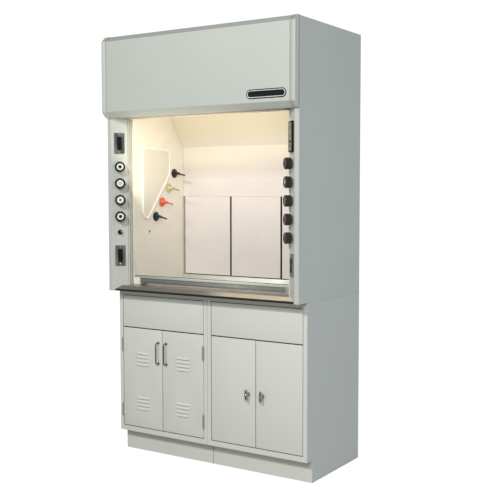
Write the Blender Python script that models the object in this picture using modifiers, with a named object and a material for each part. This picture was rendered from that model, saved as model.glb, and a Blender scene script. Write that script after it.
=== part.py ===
"""Bench fume hood: a floor-standing pair of base cabinets, a stainless work surface and a ventilated enclosure with a telescoping two-panel sash.

Units are metres, +Z is up, +X is to the right of a person who faces the hood, and the front faces -Y.
The origin is the centre of the footprint, on the floor."""

import math

import bmesh
import bpy
from mathutils import Matrix, Vector

# ---------------------------------------------------------------- driving dimensions
WIDTH = 1.2192           # overall width, 48 in
HALF = WIDTH / 2
DEPTH = 0.7112           # overall depth, 28 in
Y_FASCIA = -DEPTH / 2    # front of the upper fascia
Y_REAR = DEPTH / 2
FASCIA_PROUD = 0.0412    # the fascia stands this far in front of the corner posts
Y_POST = Y_FASCIA + FASCIA_PROUD
Z_SPLIT = 0.925          # joint between the cabinets and the enclosure
Z_WORK = 0.955           # top of the work surface
Z_TOP = 2.3188
SHEET = 0.002            # folded steel sheet
GAP = 0.0003             # between touching pieces

# fascia
FASCIA_LOW = 1.881       # lowest edge
CHAMFER = 0.030
STRIP = 0.0300           # width of the end strips

# corner posts
POST_STRIP = 0.025       # flat front strip
POST_ANGLED = 0.063      # the angled service face runs this far across and this far back

# sash guides and liner, measured inwards from the outer side face (X) and back from the post plane (Y)
LINER_IN = 0.095
LINER_T = 0.006
TRACK_Y0 = 0.0665
FIN = 0.003
GROOVE = 0.012
SASH_OPEN_Z = 1.876      # underside of both sash panels when raised
SASH_HEIGHT = 0.440
SASH_TRAVEL = 0.864
GLASS_T = 0.006

# chamber
Z_BAFFLE_LOW = 0.984
Z_SLIT_TOP = 1.448
Z_BEND = 1.740
Y_BAFFLE = 0.2527
BAFFLE_T = 0.006
SLIT = 0.012
Z_CEILING = 2.100
Z_ROOF = 2.268
DUCT_R = 0.125
DUCT_Y = 0.190

# base cabinets
Y_CABINET = -0.2270
Y_TOE = -0.1723
TOE_H = 0.118
STILE = 0.023
DOOR_T = 0.018
DOOR_LOW = 0.1475
DOOR_TOP = 0.7110
APRON_LOW = 0.7142
APRON_TOP = 0.8940
HINGE_R = 0.005

# controls on the angled post faces
ALONG = 0.0445           # distance of the centre line from the front edge of the angled face
KNOB_Z = [1.6130, 1.5218, 1.4306, 1.3394, 1.2482]
PLATE_W, PLATE_H = 0.056, 0.114


# ---------------------------------------------------------------- scene and materials
for old in list(bpy.data.objects):
    bpy.data.objects.remove(old, do_unlink=True)

HOOD = bpy.data.collections.new("fume_hood")
CUTTERS = bpy.data.collections.new("cutters")
bpy.context.scene.collection.children.link(HOOD)
bpy.context.scene.collection.children.link(CUTTERS)


def material(name, rgb, roughness, metallic=0.0, alpha=1.0):
    mat = bpy.data.materials.new(name)
    mat.use_nodes = True
    shader = mat.node_tree.nodes["Principled BSDF"]
    shader.inputs["Base Color"].default_value = (*rgb, 1.0)
    shader.inputs["Roughness"].default_value = roughness
    shader.inputs["Metallic"].default_value = metallic
    shader.inputs["Alpha"].default_value = alpha
    return mat


PAINT = (0.56, 0.60, 0.55)
DOOR_PAINT = (0.60, 0.61, 0.55)
LINER = (0.80, 0.77, 0.70)
STAINLESS = (0.50, 0.48, 0.45)
BLACK = (0.015, 0.015, 0.016)


# ---------------------------------------------------------------- modelling helpers
def place(obj, mat, coll):
    if mat is not None:
        obj.data.materials.clear()
        obj.data.materials.append(mat)
    coll.objects.link(obj)
    if coll is CUTTERS:
        obj.hide_render = True
        obj.display_type = "WIRE"
    return obj


def from_bmesh(name, bm, mat, coll, pivot):
    bmesh.ops.translate(bm, verts=bm.verts, vec=-Vector(pivot))
    mesh = bpy.data.meshes.new(name)
    bm.to_mesh(mesh)
    bm.free()
    obj = bpy.data.objects.new(name, mesh)
    obj.location = pivot
    return place(obj, mat, coll)


def add_cube(bm, lo, hi):
    lo, hi = Vector(lo), Vector(hi)
    made = bmesh.ops.create_cube(bm, size=1.0)["verts"]
    bmesh.ops.scale(bm, verts=made, vec=hi - lo)
    bmesh.ops.translate(bm, verts=made, vec=(lo + hi) / 2)
    return made


def box(name, lo, hi, mat=None, coll=None, pivot=None, bevel=0.0, segments=2):
    """A box from its two corners."""
    bm = bmesh.new()
    add_cube(bm, lo, hi)
    if pivot is None:
        pivot = (Vector(lo) + Vector(hi)) / 2
    obj = from_bmesh(name, bm, mat, coll or HOOD, pivot)
    if bevel:
        mod = obj.modifiers.new("edges", "BEVEL")
        mod.width = bevel
        mod.segments = segments
    return obj


def boxes(name, pairs, coll=None, pivot=(0, 0, 0)):
    """Several separate boxes in one cutter."""
    bm = bmesh.new()
    for lo, hi in pairs:
        add_cube(bm, lo, hi)
    return from_bmesh(name, bm, None, coll or CUTTERS, pivot)


PLANES = {
    "XY": Matrix(((1, 0, 0), (0, 1, 0), (0, 0, 1))),
    "YZ": Matrix(((0, 0, 1), (1, 0, 0), (0, 1, 0))),
    "XZ": Matrix(((1, 0, 0), (0, 0, -1), (0, 1, 0))),
}


def prism(name, outline, plane, low, high, mat=None, coll=None, pivot=None):
    """A flat outline, drawn as a filled 2D curve, given thickness along the third axis."""
    curve = bpy.data.curves.new(name, "CURVE")
    curve.dimensions = "2D"
    curve.fill_mode = "BOTH"
    curve.extrude = (high - low) / 2
    spline = curve.splines.new("POLY")
    spline.points.add(len(outline) - 1)
    for point, (u, v) in zip(spline.points, outline):
        point.co = (u, v, 0, 1)
    spline.use_cyclic_u = True
    drawn = bpy.data.objects.new(name + "_outline", curve)
    CUTTERS.objects.link(drawn)
    bpy.context.view_layer.update()
    mesh = bpy.data.meshes.new_from_object(drawn.evaluated_get(bpy.context.evaluated_depsgraph_get()))
    bpy.data.objects.remove(drawn, do_unlink=True)
    middle = (low + high) / 2
    side = -1.0 if plane == "XZ" else 1.0
    turn = PLANES[plane].to_4x4()
    mesh.transform(turn @ Matrix.Translation((0, 0, side * middle)))
    bm = bmesh.new()
    bm.from_mesh(mesh)
    bpy.data.meshes.remove(mesh)
    bmesh.ops.remove_doubles(bm, verts=bm.verts, dist=1e-6)
    bmesh.ops.recalc_face_normals(bm, faces=bm.faces)
    if pivot is None:
        lo = Vector([min(v.co[i] for v in bm.verts) for i in range(3)])
        hi = Vector([max(v.co[i] for v in bm.verts) for i in range(3)])
        pivot = (lo + hi) / 2
    return from_bmesh(name, bm, mat, coll or HOOD, pivot)


def sheet_outline(path, thickness):
    """The closed outline of a folded sheet: path is its outer side, and the thickness goes to the left of the path."""
    path = [Vector(p) for p in path]
    inner = []
    for i, p in enumerate(path):
        before = (p - path[i - 1]).normalized() if i else None
        after = (path[i + 1] - p).normalized() if i + 1 < len(path) else None
        normals = [Vector((-d.y, d.x)) for d in (before, after) if d is not None]
        if len(normals) == 1:
            inner.append(p + normals[0] * thickness)
        else:
            mitre = (normals[0] + normals[1]).normalized()
            inner.append(p + mitre * (thickness / mitre.dot(normals[0])))
    return [tuple(p) for p in path] + [tuple(p) for p in reversed(inner)]


def turned(name, profile, location, direction, mat=None, coll=None, steps=24, closed=False):
    """A turned piece: profile is (radius, height) down its outer side, and height runs along direction from location."""
    bm = bmesh.new()
    verts = [bm.verts.new((r, 0, h)) for r, h in profile]
    for a, b in zip(verts, verts[1:]):
        bm.edges.new((a, b))
    if closed:
        bm.edges.new((verts[-1], verts[0]))
    obj = from_bmesh(name, bm, mat, coll or HOOD, (0, 0, 0))
    mod = obj.modifiers.new("turn", "SCREW")
    mod.steps = steps
    mod.render_steps = steps
    mod.use_merge_vertices = True
    mod.merge_threshold = 0.00001
    mod.use_smooth_shade = True
    obj.location = location
    obj.rotation_euler = Vector(direction).to_track_quat("Z", "Y").to_euler()
    return obj


def rod(name, points, radius, mat=None, coll=None, pivot=(0, 0, 0), resolution=3):
    """A bent round bar."""
    curve = bpy.data.curves.new(name, "CURVE")
    curve.dimensions = "3D"
    curve.bevel_depth = radius
    curve.bevel_resolution = resolution
    curve.use_fill_caps = True
    spline = curve.splines.new("POLY")
    spline.points.add(len(points) - 1)
    for point, co in zip(spline.points, points):
        point.co = (*co, 1)
    drawn = bpy.data.objects.new(name + "_path", curve)
    CUTTERS.objects.link(drawn)
    bpy.context.view_layer.update()
    mesh = bpy.data.meshes.new_from_object(drawn.evaluated_get(bpy.context.evaluated_depsgraph_get()))
    bpy.data.objects.remove(drawn, do_unlink=True)
    bm = bmesh.new()
    bm.from_mesh(mesh)
    bpy.data.meshes.remove(mesh)
    bmesh.ops.remove_doubles(bm, verts=bm.verts, dist=1e-6)
    bmesh.ops.recalc_face_normals(bm, faces=bm.faces)
    for face in bm.faces:
        face.smooth = True
    return from_bmesh(name, bm, mat, coll or HOOD, pivot)


def boolean(obj, other, operation="DIFFERENCE"):
    mod = obj.modifiers.new(operation.lower(), "BOOLEAN")
    mod.operation = operation
    mod.solver = "EXACT"
    mod.object = other
    return obj


def at_post(side):
    """The centre line of an angled post face: its point at height 0, its outward direction, and its direction away from the front."""
    s = POST_STRIP + ALONG / math.sqrt(2)
    back = ALONG / math.sqrt(2)
    if side == "left":
        return Vector((-HALF + s, Y_POST + back, 0)), Vector((1, -1, 0)).normalized(), math.radians(45)
    return Vector((HALF - s, Y_POST + back, 0)), Vector((-1, -1, 0)).normalized(), math.radians(-45)


def on_post(obj, side, z):
    """Moves an object that was modelled facing -Y about the origin onto an angled post face."""
    point, _, turn = at_post(side)
    obj.location = point + Vector((0, 0, z))
    obj.rotation_euler = (0, 0, turn)
    return obj


paint = material("paint", PAINT, 0.42)
door_paint = material("door_paint", DOOR_PAINT, 0.42)

# ---------------------------------------------------------------- outer enclosure
for side, sign in (("left", -1), ("right", 1)):
    edge = sign * HALF
    inner = sign * (HALF - SHEET)
    box(
        f"side_panel_{side}",
        (min(edge, inner), Y_POST + SHEET + GAP, Z_SPLIT),
        (max(edge, inner), Y_REAR, Z_TOP),
        material(f"side_panel_{side}", PAINT, 0.42),
    )

    # corner post: a flat strip, then the angled service face
    path = [(-HALF, Y_POST), (-HALF + POST_STRIP, Y_POST), (-HALF + POST_STRIP + POST_ANGLED, Y_POST + POST_ANGLED)]
    outline = sheet_outline(path, SHEET)
    if sign > 0:
        outline = [(-x, y) for x, y in outline]
    prism(f"corner_post_{side}", outline, "XY", Z_SPLIT, Z_TOP, material(f"corner_post_{side}", PAINT, 0.42))

    # fascia end strip: the fascia's own section, closed on its outer side
    section = [
        (Y_POST - GAP, Z_TOP),
        (Y_FASCIA + CHAMFER, Z_TOP),
        (Y_FASCIA, Z_TOP - CHAMFER + 0.002),
        (Y_FASCIA, FASCIA_LOW + CHAMFER),
        (Y_FASCIA + CHAMFER, FASCIA_LOW),
        (Y_POST - GAP, FASCIA_LOW),
    ]
    hollow = [
        (Y_POST + 0.01, Z_TOP - SHEET),
        (Y_FASCIA + CHAMFER + 0.0008, Z_TOP - SHEET),
        (Y_FASCIA + SHEET, Z_TOP - CHAMFER + 0.001),
        (Y_FASCIA + SHEET, FASCIA_LOW + CHAMFER + 0.0008),
        (Y_FASCIA + CHAMFER + 0.0008, FASCIA_LOW + SHEET),
        (Y_POST + 0.01, FASCIA_LOW + SHEET),
    ]
    lo, hi = sorted((edge, sign * (HALF - STRIP + 0.0006)))
    cap = prism(f"fascia_end_{side}", section, "YZ", lo, hi, material(f"fascia_end_{side}", PAINT, 0.42))
    lo, hi = sorted((inner, sign * (HALF - STRIP - 0.02)))
    boolean(cap, prism(f"fascia_end_{side}_hollow", hollow, "YZ", lo, hi, coll=CUTTERS))

box(
    "rear_panel",
    (-HALF + SHEET + GAP, Y_REAR - SHEET, Z_SPLIT),
    (HALF - SHEET - GAP, Y_REAR, Z_TOP),
    material("rear_panel", PAINT, 0.5),
)

FASCIA_HALF = HALF - STRIP - 0.0006
fascia_path = [
    (Y_POST + 0.0194, FASCIA_LOW),
    (Y_FASCIA + CHAMFER, FASCIA_LOW),
    (Y_FASCIA, FASCIA_LOW + CHAMFER),
    (Y_FASCIA, Z_TOP - CHAMFER + 0.002),
    (Y_FASCIA + CHAMFER, Z_TOP),
    (Y_POST + 0.0194, Z_TOP),
]
fascia = prism(
    "fascia_panel",
    sheet_outline(list(reversed(fascia_path)), SHEET),
    "YZ",
    -FASCIA_HALF,
    FASCIA_HALF,
    material("fascia_panel", PAINT, 0.42),
)
# its two returns are notched around the corner posts
notch = HALF - POST_STRIP - POST_ANGLED + 0.016
boolean(
    fascia,
    boxes(
        "fascia_notches",
        [((min(s * notch, s * (HALF + 0.01)), Y_POST - GAP, FASCIA_LOW - 0.01), (max(s * notch, s * (HALF + 0.01)), Y_POST + 0.05, Z_TOP + 0.01)) for s in (-1, 1)],
    ),
)

ROOF_FRONT = -0.205
roof = box(
    "roof_panel",
    (-HALF + SHEET + GAP, ROOF_FRONT, Z_ROOF),
    (HALF - SHEET - GAP, Y_REAR - SHEET - GAP, Z_ROOF + SHEET),
    material("roof_panel", PAINT, 0.5),
)
boolean(roof, turned("roof_hole", [(0, 0.05), (DUCT_R + 0.028, 0.05), (DUCT_R + 0.028, -0.05), (0, -0.05)], (0, DUCT_Y, Z_ROOF), (0, 0, 1), coll=CUTTERS, steps=48))

# exhaust collar: a short duct with a foot flange on the ceiling and a flat flange at the top
ri, ro, foot = DUCT_R - 0.0015, DUCT_R + 0.0015, DUCT_R + 0.025
z0, z1 = Z_CEILING + LINER_T + GAP, Z_TOP - 0.0003
turned(
    "exhaust_collar",
    [(ri, z1), (foot, z1), (foot, z1 - 0.003), (ro, z1 - 0.003), (ro, z0 + 0.003), (foot, z0 + 0.003), (foot, z0), (ri, z0)],
    (0, DUCT_Y, 0),
    (0, 0, 1),
    material("exhaust_collar", (0.45, 0.46, 0.46), 0.35, 0.9),
    steps=48,
    closed=True,
)

# ---------------------------------------------------------------- sash guides
for side, sign in (("left", -1), ("right", 1)):
    y = TRACK_Y0
    web = LINER_IN - 0.019
    tip = LINER_IN
    root = web + 0.004
    edges = [(web, y), (tip, y), (tip, y + FIN), (root, y + FIN)]
    y += FIN + GROOVE
    edges += [(root, y), (tip, y), (tip, y + FIN), (root, y + FIN)]
    y += FIN + GROOVE
    edges += [(root, y), (tip, y), (tip, y + FIN), (web, y + FIN)]
    outline = [(sign * (HALF - a), Y_POST + b) for a, b in edges]
    prism(f"sash_track_{side}", outline, "XY", Z_WORK + GAP, Z_TOP - 0.003, material(f"sash_track_{side}", (0.62, 0.63, 0.58), 0.45))

# ---------------------------------------------------------------- chamber lining
LINER_FRONT = Y_POST + TRACK_Y0 + 3 * FIN + 2 * GROOVE + 0.001
for side, sign in (("left", -1), ("right", 1)):
    lo, hi = sorted((sign * (HALF - LINER_IN), sign * (HALF - LINER_IN + LINER_T)))
    box(
        f"liner_side_{side}",
        (lo, LINER_FRONT, Z_WORK + GAP),
        (hi, Y_REAR - SHEET - 0.001, Z_CEILING + LINER_T),
        material(f"liner_side_{side}", LINER, 0.5),
    )
INSIDE = HALF - LINER_IN
ceiling = box(
    "liner_ceiling",
    (-INSIDE + GAP, LINER_FRONT, Z_CEILING),
    (INSIDE - GAP, Y_REAR - SHEET - 0.001, Z_CEILING + LINER_T),
    material("liner_ceiling", LINER, 0.5),
)
LAMP_X, LAMP_Y0, LAMP_Y1 = 0.440, -0.170, -0.070
boolean(ceiling, boxes("lamp_opening", [((-LAMP_X, LAMP_Y0, Z_CEILING - 0.02), (LAMP_X, LAMP_Y1, Z_CEILING + 0.03))]))
boolean(ceiling, turned("duct_opening", [(0, 0.05), (DUCT_R, 0.05), (DUCT_R, -0.05), (0, -0.05)], (0, DUCT_Y, Z_CEILING), (0, 0, 1), coll=CUTTERS, steps=48))

# lower baffle: three panels with vertical slits between them and at both ends
span = 2 * INSIDE / 3
for i, name in enumerate(("left", "middle", "right")):
    x0 = -INSIDE + i * span + (SLIT if i == 0 else SLIT / 2)
    x1 = -INSIDE + (i + 1) * span - (SLIT if i == 2 else SLIT / 2)
    box(
        f"baffle_lower_{name}",
        (x0, Y_BAFFLE, Z_BAFFLE_LOW),
        (x1, Y_BAFFLE + BAFFLE_T, Z_SLIT_TOP),
        material(f"baffle_lower_{name}", LINER, 0.5),
    )
SLOPE = Vector((-0.2527, 0.358)).normalized()
top = Vector((Y_BAFFLE, Z_BEND)) + SLOPE * 0.425
prism(
    "baffle_upper",
    sheet_outline([tuple(top), (Y_BAFFLE, Z_BEND), (Y_BAFFLE, Z_SLIT_TOP + GAP)], BAFFLE_T),
    "YZ",
    -INSIDE + 0.0008,
    INSIDE - 0.0008,
    material("baffle_upper", LINER, 0.5),
)

# lamp: a tray above the ceiling, and a lens set into the ceiling opening
tray = box(
    "lamp_housing",
    (-LAMP_X - 0.012, LAMP_Y0 - 0.012, Z_CEILING + LINER_T + GAP),
    (LAMP_X + 0.012, LAMP_Y1 + 0.012, 2.165),
    material("lamp_housing", (0.75, 0.75, 0.73), 0.5),
)
boolean(tray, boxes("lamp_tray_hollow", [((-LAMP_X, LAMP_Y0, Z_CEILING), (LAMP_X, LAMP_Y1, 2.163))]))
box(
    "lamp_lens",
    (-LAMP_X + 0.0006, LAMP_Y0 + 0.0006, Z_CEILING + 0.0005),
    (LAMP_X - 0.0006, LAMP_Y1 - 0.0006, Z_CEILING + 0.0055),
    material("lamp_lens", (1.0, 0.95, 0.82), 0.3, alpha=0.6),
)

# access cover on the left liner: a plate with rounded corners, Y from the post plane and height
corners = [(0.1835, 1.7245), (0.4240, 1.7190), (0.4240, 1.5794), (0.2137, 1.3130), (0.1800, 1.3560)]


def rounded(points, radii, steps=5):
    """The outline with each corner replaced by an arc."""
    out = []
    n = len(points)
    for i in range(n):
        p, a, b = Vector(points[i]), Vector(points[i - 1]), Vector(points[(i + 1) % n])
        da, db = (a - p).normalized(), (b - p).normalized()
        half = da.angle(db) / 2
        reach = radii[i] / math.tan(half)
        centre = p + (da + db).normalized() * (radii[i] / math.sin(half))
        start, end = p + da * reach - centre, p + db * reach - centre
        turn = start.angle_signed(end)
        for k in range(steps + 1):
            t = turn * k / steps
            rotated = Vector((start.x * math.cos(t) + start.y * math.sin(t), -start.x * math.sin(t) + start.y * math.cos(t)))
            out.append(tuple(centre + rotated))
    return out


cover_outline = [(Y_POST + y, z) for y, z in rounded(corners, [0.022, 0.022, 0.05, 0.018, 0.018])]
prism("access_cover", cover_outline, "YZ", -INSIDE + GAP, -INSIDE + 0.0085, material("access_cover", (0.86, 0.84, 0.78), 0.5))

# service outlets on the left liner: a flanged cone and a drooping hose barb
OUTLETS = [
    ("gas_outlet_black", 0.4756, 1.5844, (0.02, 0.014, 0.01)),
    ("gas_outlet_yellow", 0.4218, 1.4971, (0.75, 0.66, 0.25)),
    ("gas_outlet_red", 0.3577, 1.4153, (0.78, 0.13, 0.06)),
    ("gas_outlet_blue", 0.3001, 1.3331, (0.02, 0.035, 0.08)),
]
for name, y, z, rgb in OUTLETS:
    base = Vector((-INSIDE + GAP, Y_POST + y, z))
    cone = turned(
        name,
        [(0, 0.034), (0.009, 0.034), (0.012, 0.030), (0.0125, 0.018), (0.020, 0.009), (0.027, 0.005), (0.027, 0.0), (0, 0.0)],
        base,
        (1, 0, 0),
        material(name, rgb, 0.4),
        steps=20,
    )
    barb = turned(
        name + "_barb",
        [(0, 0.058), (0.0030, 0.058), (0.0048, 0.050), (0.0036, 0.049), (0.0050, 0.040), (0.0038, 0.039), (0.0054, 0.029), (0.0054, -0.012), (0, -0.012)],
        base + Vector((0.026, 0, 0)),
        (math.cos(math.radians(14)), 0, -math.sin(math.radians(14))),
        coll=CUTTERS,
        steps=14,
    )
    boolean(cone, barb, "UNION")

# ---------------------------------------------------------------- work surface and sill
def mirrored(points):
    return points + [(-x, y) for x, y in reversed(points)]


clear = 0.0007
half_outline = [
    (-HALF + POST_STRIP + 0.009 + clear, Y_POST + 0.009),
    (-HALF + POST_STRIP + 0.0637 + clear, Y_POST + 0.0637),
    (-HALF + POST_STRIP + 0.0637 + clear, Y_POST + 0.0655),
    (-HALF + SHEET + 0.001, Y_POST + 0.0665),
    (-HALF + SHEET + 0.001, Y_REAR - SHEET - 0.001),
]
work = prism("work_surface", mirrored(half_outline), "XY", Z_SPLIT + GAP, Z_WORK, material("work_surface", STAINLESS, 0.28, 0.9))
nose = [(-0.005, 0.9335), (0.009, 0.9335), (0.0365, 0.9552), (0.0365, 0.965), (-0.005, 0.965)]
boolean(work, prism("nose_slope", [(Y_POST + y, z) for y, z in nose], "YZ", -HALF, HALF, coll=CUTTERS))
boolean(work, boxes("work_dish", [((-0.490, Y_POST + 0.185, Z_WORK - 0.006), (0.490, Y_BAFFLE - 0.03, Z_WORK + 0.02))]))

sill = [
    (0.110, 0.971), (0.116, 0.971), (0.116, 0.991), (0.158, 0.989), (0.176, 0.981),
    (0.178, 0.983), (0.160, 0.997), (0.108, 1.006), (0.104, 1.003), (0.104, 0.993), (0.110, 0.992),
]
airfoil = prism("airfoil_sill", [(Y_POST + y, z) for y, z in sill], "YZ", -INSIDE + 0.001, INSIDE - 0.001, material("airfoil_sill", STAINLESS, 0.3, 0.9))
feet = boxes(
    "airfoil_feet",
    [
        ((s * (INSIDE - 0.0015) if s < 0 else INSIDE - 0.039, Y_POST + 0.1085, Z_WORK + GAP), (-INSIDE + 0.039 if s < 0 else INSIDE - 0.0015, Y_POST + 0.150, 0.9925))
        for s in (-1, 1)
    ],
)
boolean(airfoil, feet, "UNION")

# ---------------------------------------------------------------- controls on the posts
def knob_profile(radius, length, rim):
    return [
        (0, length), (radius * 0.80, length), (radius - rim, length - 0.001), (radius, length - 0.004), (radius, 0.008),
        (radius - 0.003, 0.005), (0.013, 0.0045), (0.013, 0.0005), (0, 0.0005),
    ]


for side, count, radius, length in (("left", 4, 0.0290, 0.040), ("right", 5, 0.0290, 0.040)):
    point, out, _ = at_post(side)
    for i in range(count):
        turned(
            f"valve_knob_{side}_{i + 1}",
            knob_profile(radius, length, 0.002),
            point + Vector((0, 0, KNOB_Z[i])),
            out,
            material(f"valve_knob_{side}_{i + 1}", BLACK, 0.35),
            steps=20,
        )
point, out, _ = at_post("left")
turned(
    "light_switch",
    [(0, 0.020), (0.0095, 0.020), (0.011, 0.018), (0.011, 0.006), (0.0135, 0.005), (0.0135, 0.0005), (0, 0.0005)],
    point + Vector((0, 0, 1.2512)),
    out,
    material("light_switch", BLACK, 0.3),
    steps=20,
)


def power_outlet(name, side, z):
    plate = box(
        name,
        (-PLATE_W / 2, -0.0055, -PLATE_H / 2),
        (PLATE_W / 2, -0.0005, PLATE_H / 2),
        material(name, (0.30, 0.30, 0.28), 0.3, 0.6),
        pivot=(0, 0, 0),
    )
    face = box(name + "_face", (-0.0145, -0.0085, -0.035), (0.0145, -0.003, 0.035), coll=CUTTERS, pivot=(0, 0, 0))
    boolean(plate, face, "UNION")
    on_post(plate, side, z)
    on_post(face, side, z)


power_outlet("power_outlet_left_upper", "left", 1.7427)
power_outlet("power_outlet_left_lower", "left", 1.1210)
power_outlet("power_outlet_right_lower", "right", 1.1130)
on_post(
    box(
        "airflow_monitor",
        (-0.031, -0.0125, -0.0755),
        (0.031, -0.0005, 0.0755),
        material("airflow_monitor", (0.05, 0.05, 0.045), 0.35),
        pivot=(0, 0, 0),
        bevel=0.002,
        segments=1,
    ),
    "right",
    1.7436,
)

# ---------------------------------------------------------------- telescoping sash
Y_FRONT_SASH = Y_POST + TRACK_Y0 + FIN + GROOVE / 2
Y_BACK_SASH = Y_FRONT_SASH + FIN + GROOVE
GLASS_HALF = INSIDE + 0.010
RAIL_HALF = INSIDE - 0.0026
for which, y, rail in (("lower", Y_FRONT_SASH, 0.040), ("upper", Y_BACK_SASH, 0.020)):
    lo = (-RAIL_HALF, y - 0.005, SASH_OPEN_Z)
    hi = (RAIL_HALF, y + 0.005, SASH_OPEN_Z + rail)
    frame = box(f"sash_{which}_rail", lo, hi, material(f"sash_{which}_rail", (0.55, 0.55, 0.53), 0.35, 0.6))
    if which == "lower":
        lip = prism(
            "sash_lift_lip",
            [(y - 0.004, SASH_OPEN_Z), (y - 0.004, SASH_OPEN_Z + 0.010), (y - 0.023, SASH_OPEN_Z + 0.006), (y - 0.027, SASH_OPEN_Z + 0.012), (y - 0.030, SASH_OPEN_Z + 0.011), (y - 0.026, SASH_OPEN_Z)],
            "YZ",
            -RAIL_HALF + 0.004,
            RAIL_HALF - 0.004,
            coll=CUTTERS,
        )
        boolean(frame, lip, "UNION")
    box(
        f"sash_{which}_glass",
        (-GLASS_HALF, y - GLASS_T / 2, SASH_OPEN_Z + rail + GAP),
        (GLASS_HALF, y + GLASS_T / 2, SASH_OPEN_Z + SASH_HEIGHT),
        material(f"sash_{which}_glass", (0.85, 0.93, 0.90), 0.02, alpha=0.25),
    )

# counterweight in the right side cavity, and the cross shaft with its three cable pulleys
box("sash_counterweight", (0.535, 0.0, 1.000), (0.585, 0.120, 1.270), material("sash_counterweight", (0.12, 0.12, 0.12), 0.6, 0.7), bevel=0.003, segments=1)
SHAFT_Y, SHAFT_Z = -0.150, 2.215


def pulley(x):
    """Profile points of one grooved pulley centred at x, going down its outer side."""
    return [(0.008, x + 0.007), (0.035, x + 0.007), (0.035, x + 0.004), (0.031, x), (0.035, x - 0.004), (0.035, x - 0.007), (0.008, x - 0.007)]


shaft_profile = [(0, 0.575), (0.008, 0.575)] + pulley(0.560) + pulley(0.490) + pulley(-0.490) + [(0.008, -0.505), (0, -0.505)]
turned("sash_drive_shaft", shaft_profile, (0, SHAFT_Y, SHAFT_Z), (1, 0, 0), material("sash_drive_shaft", (0.35, 0.36, 0.37), 0.35, 0.9), steps=20)

# ---------------------------------------------------------------- base cabinets
def pan(name, x0, x1, z0, z1, mat, pivot=None):
    """A folded steel pan: a front sheet with its four edges turned back, open behind."""
    front = box(name, (x0, Y_CABINET, z0), (x1, Y_CABINET + DOOR_T, z1), mat, pivot=pivot)
    t = 0.0015
    boolean(front, boxes(name + "_hollow", [((x0 + t, Y_CABINET + t, z0 + t), (x1 - t, Y_CABINET + DOOR_T + 0.01, z1 - t))]))
    return front


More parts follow.
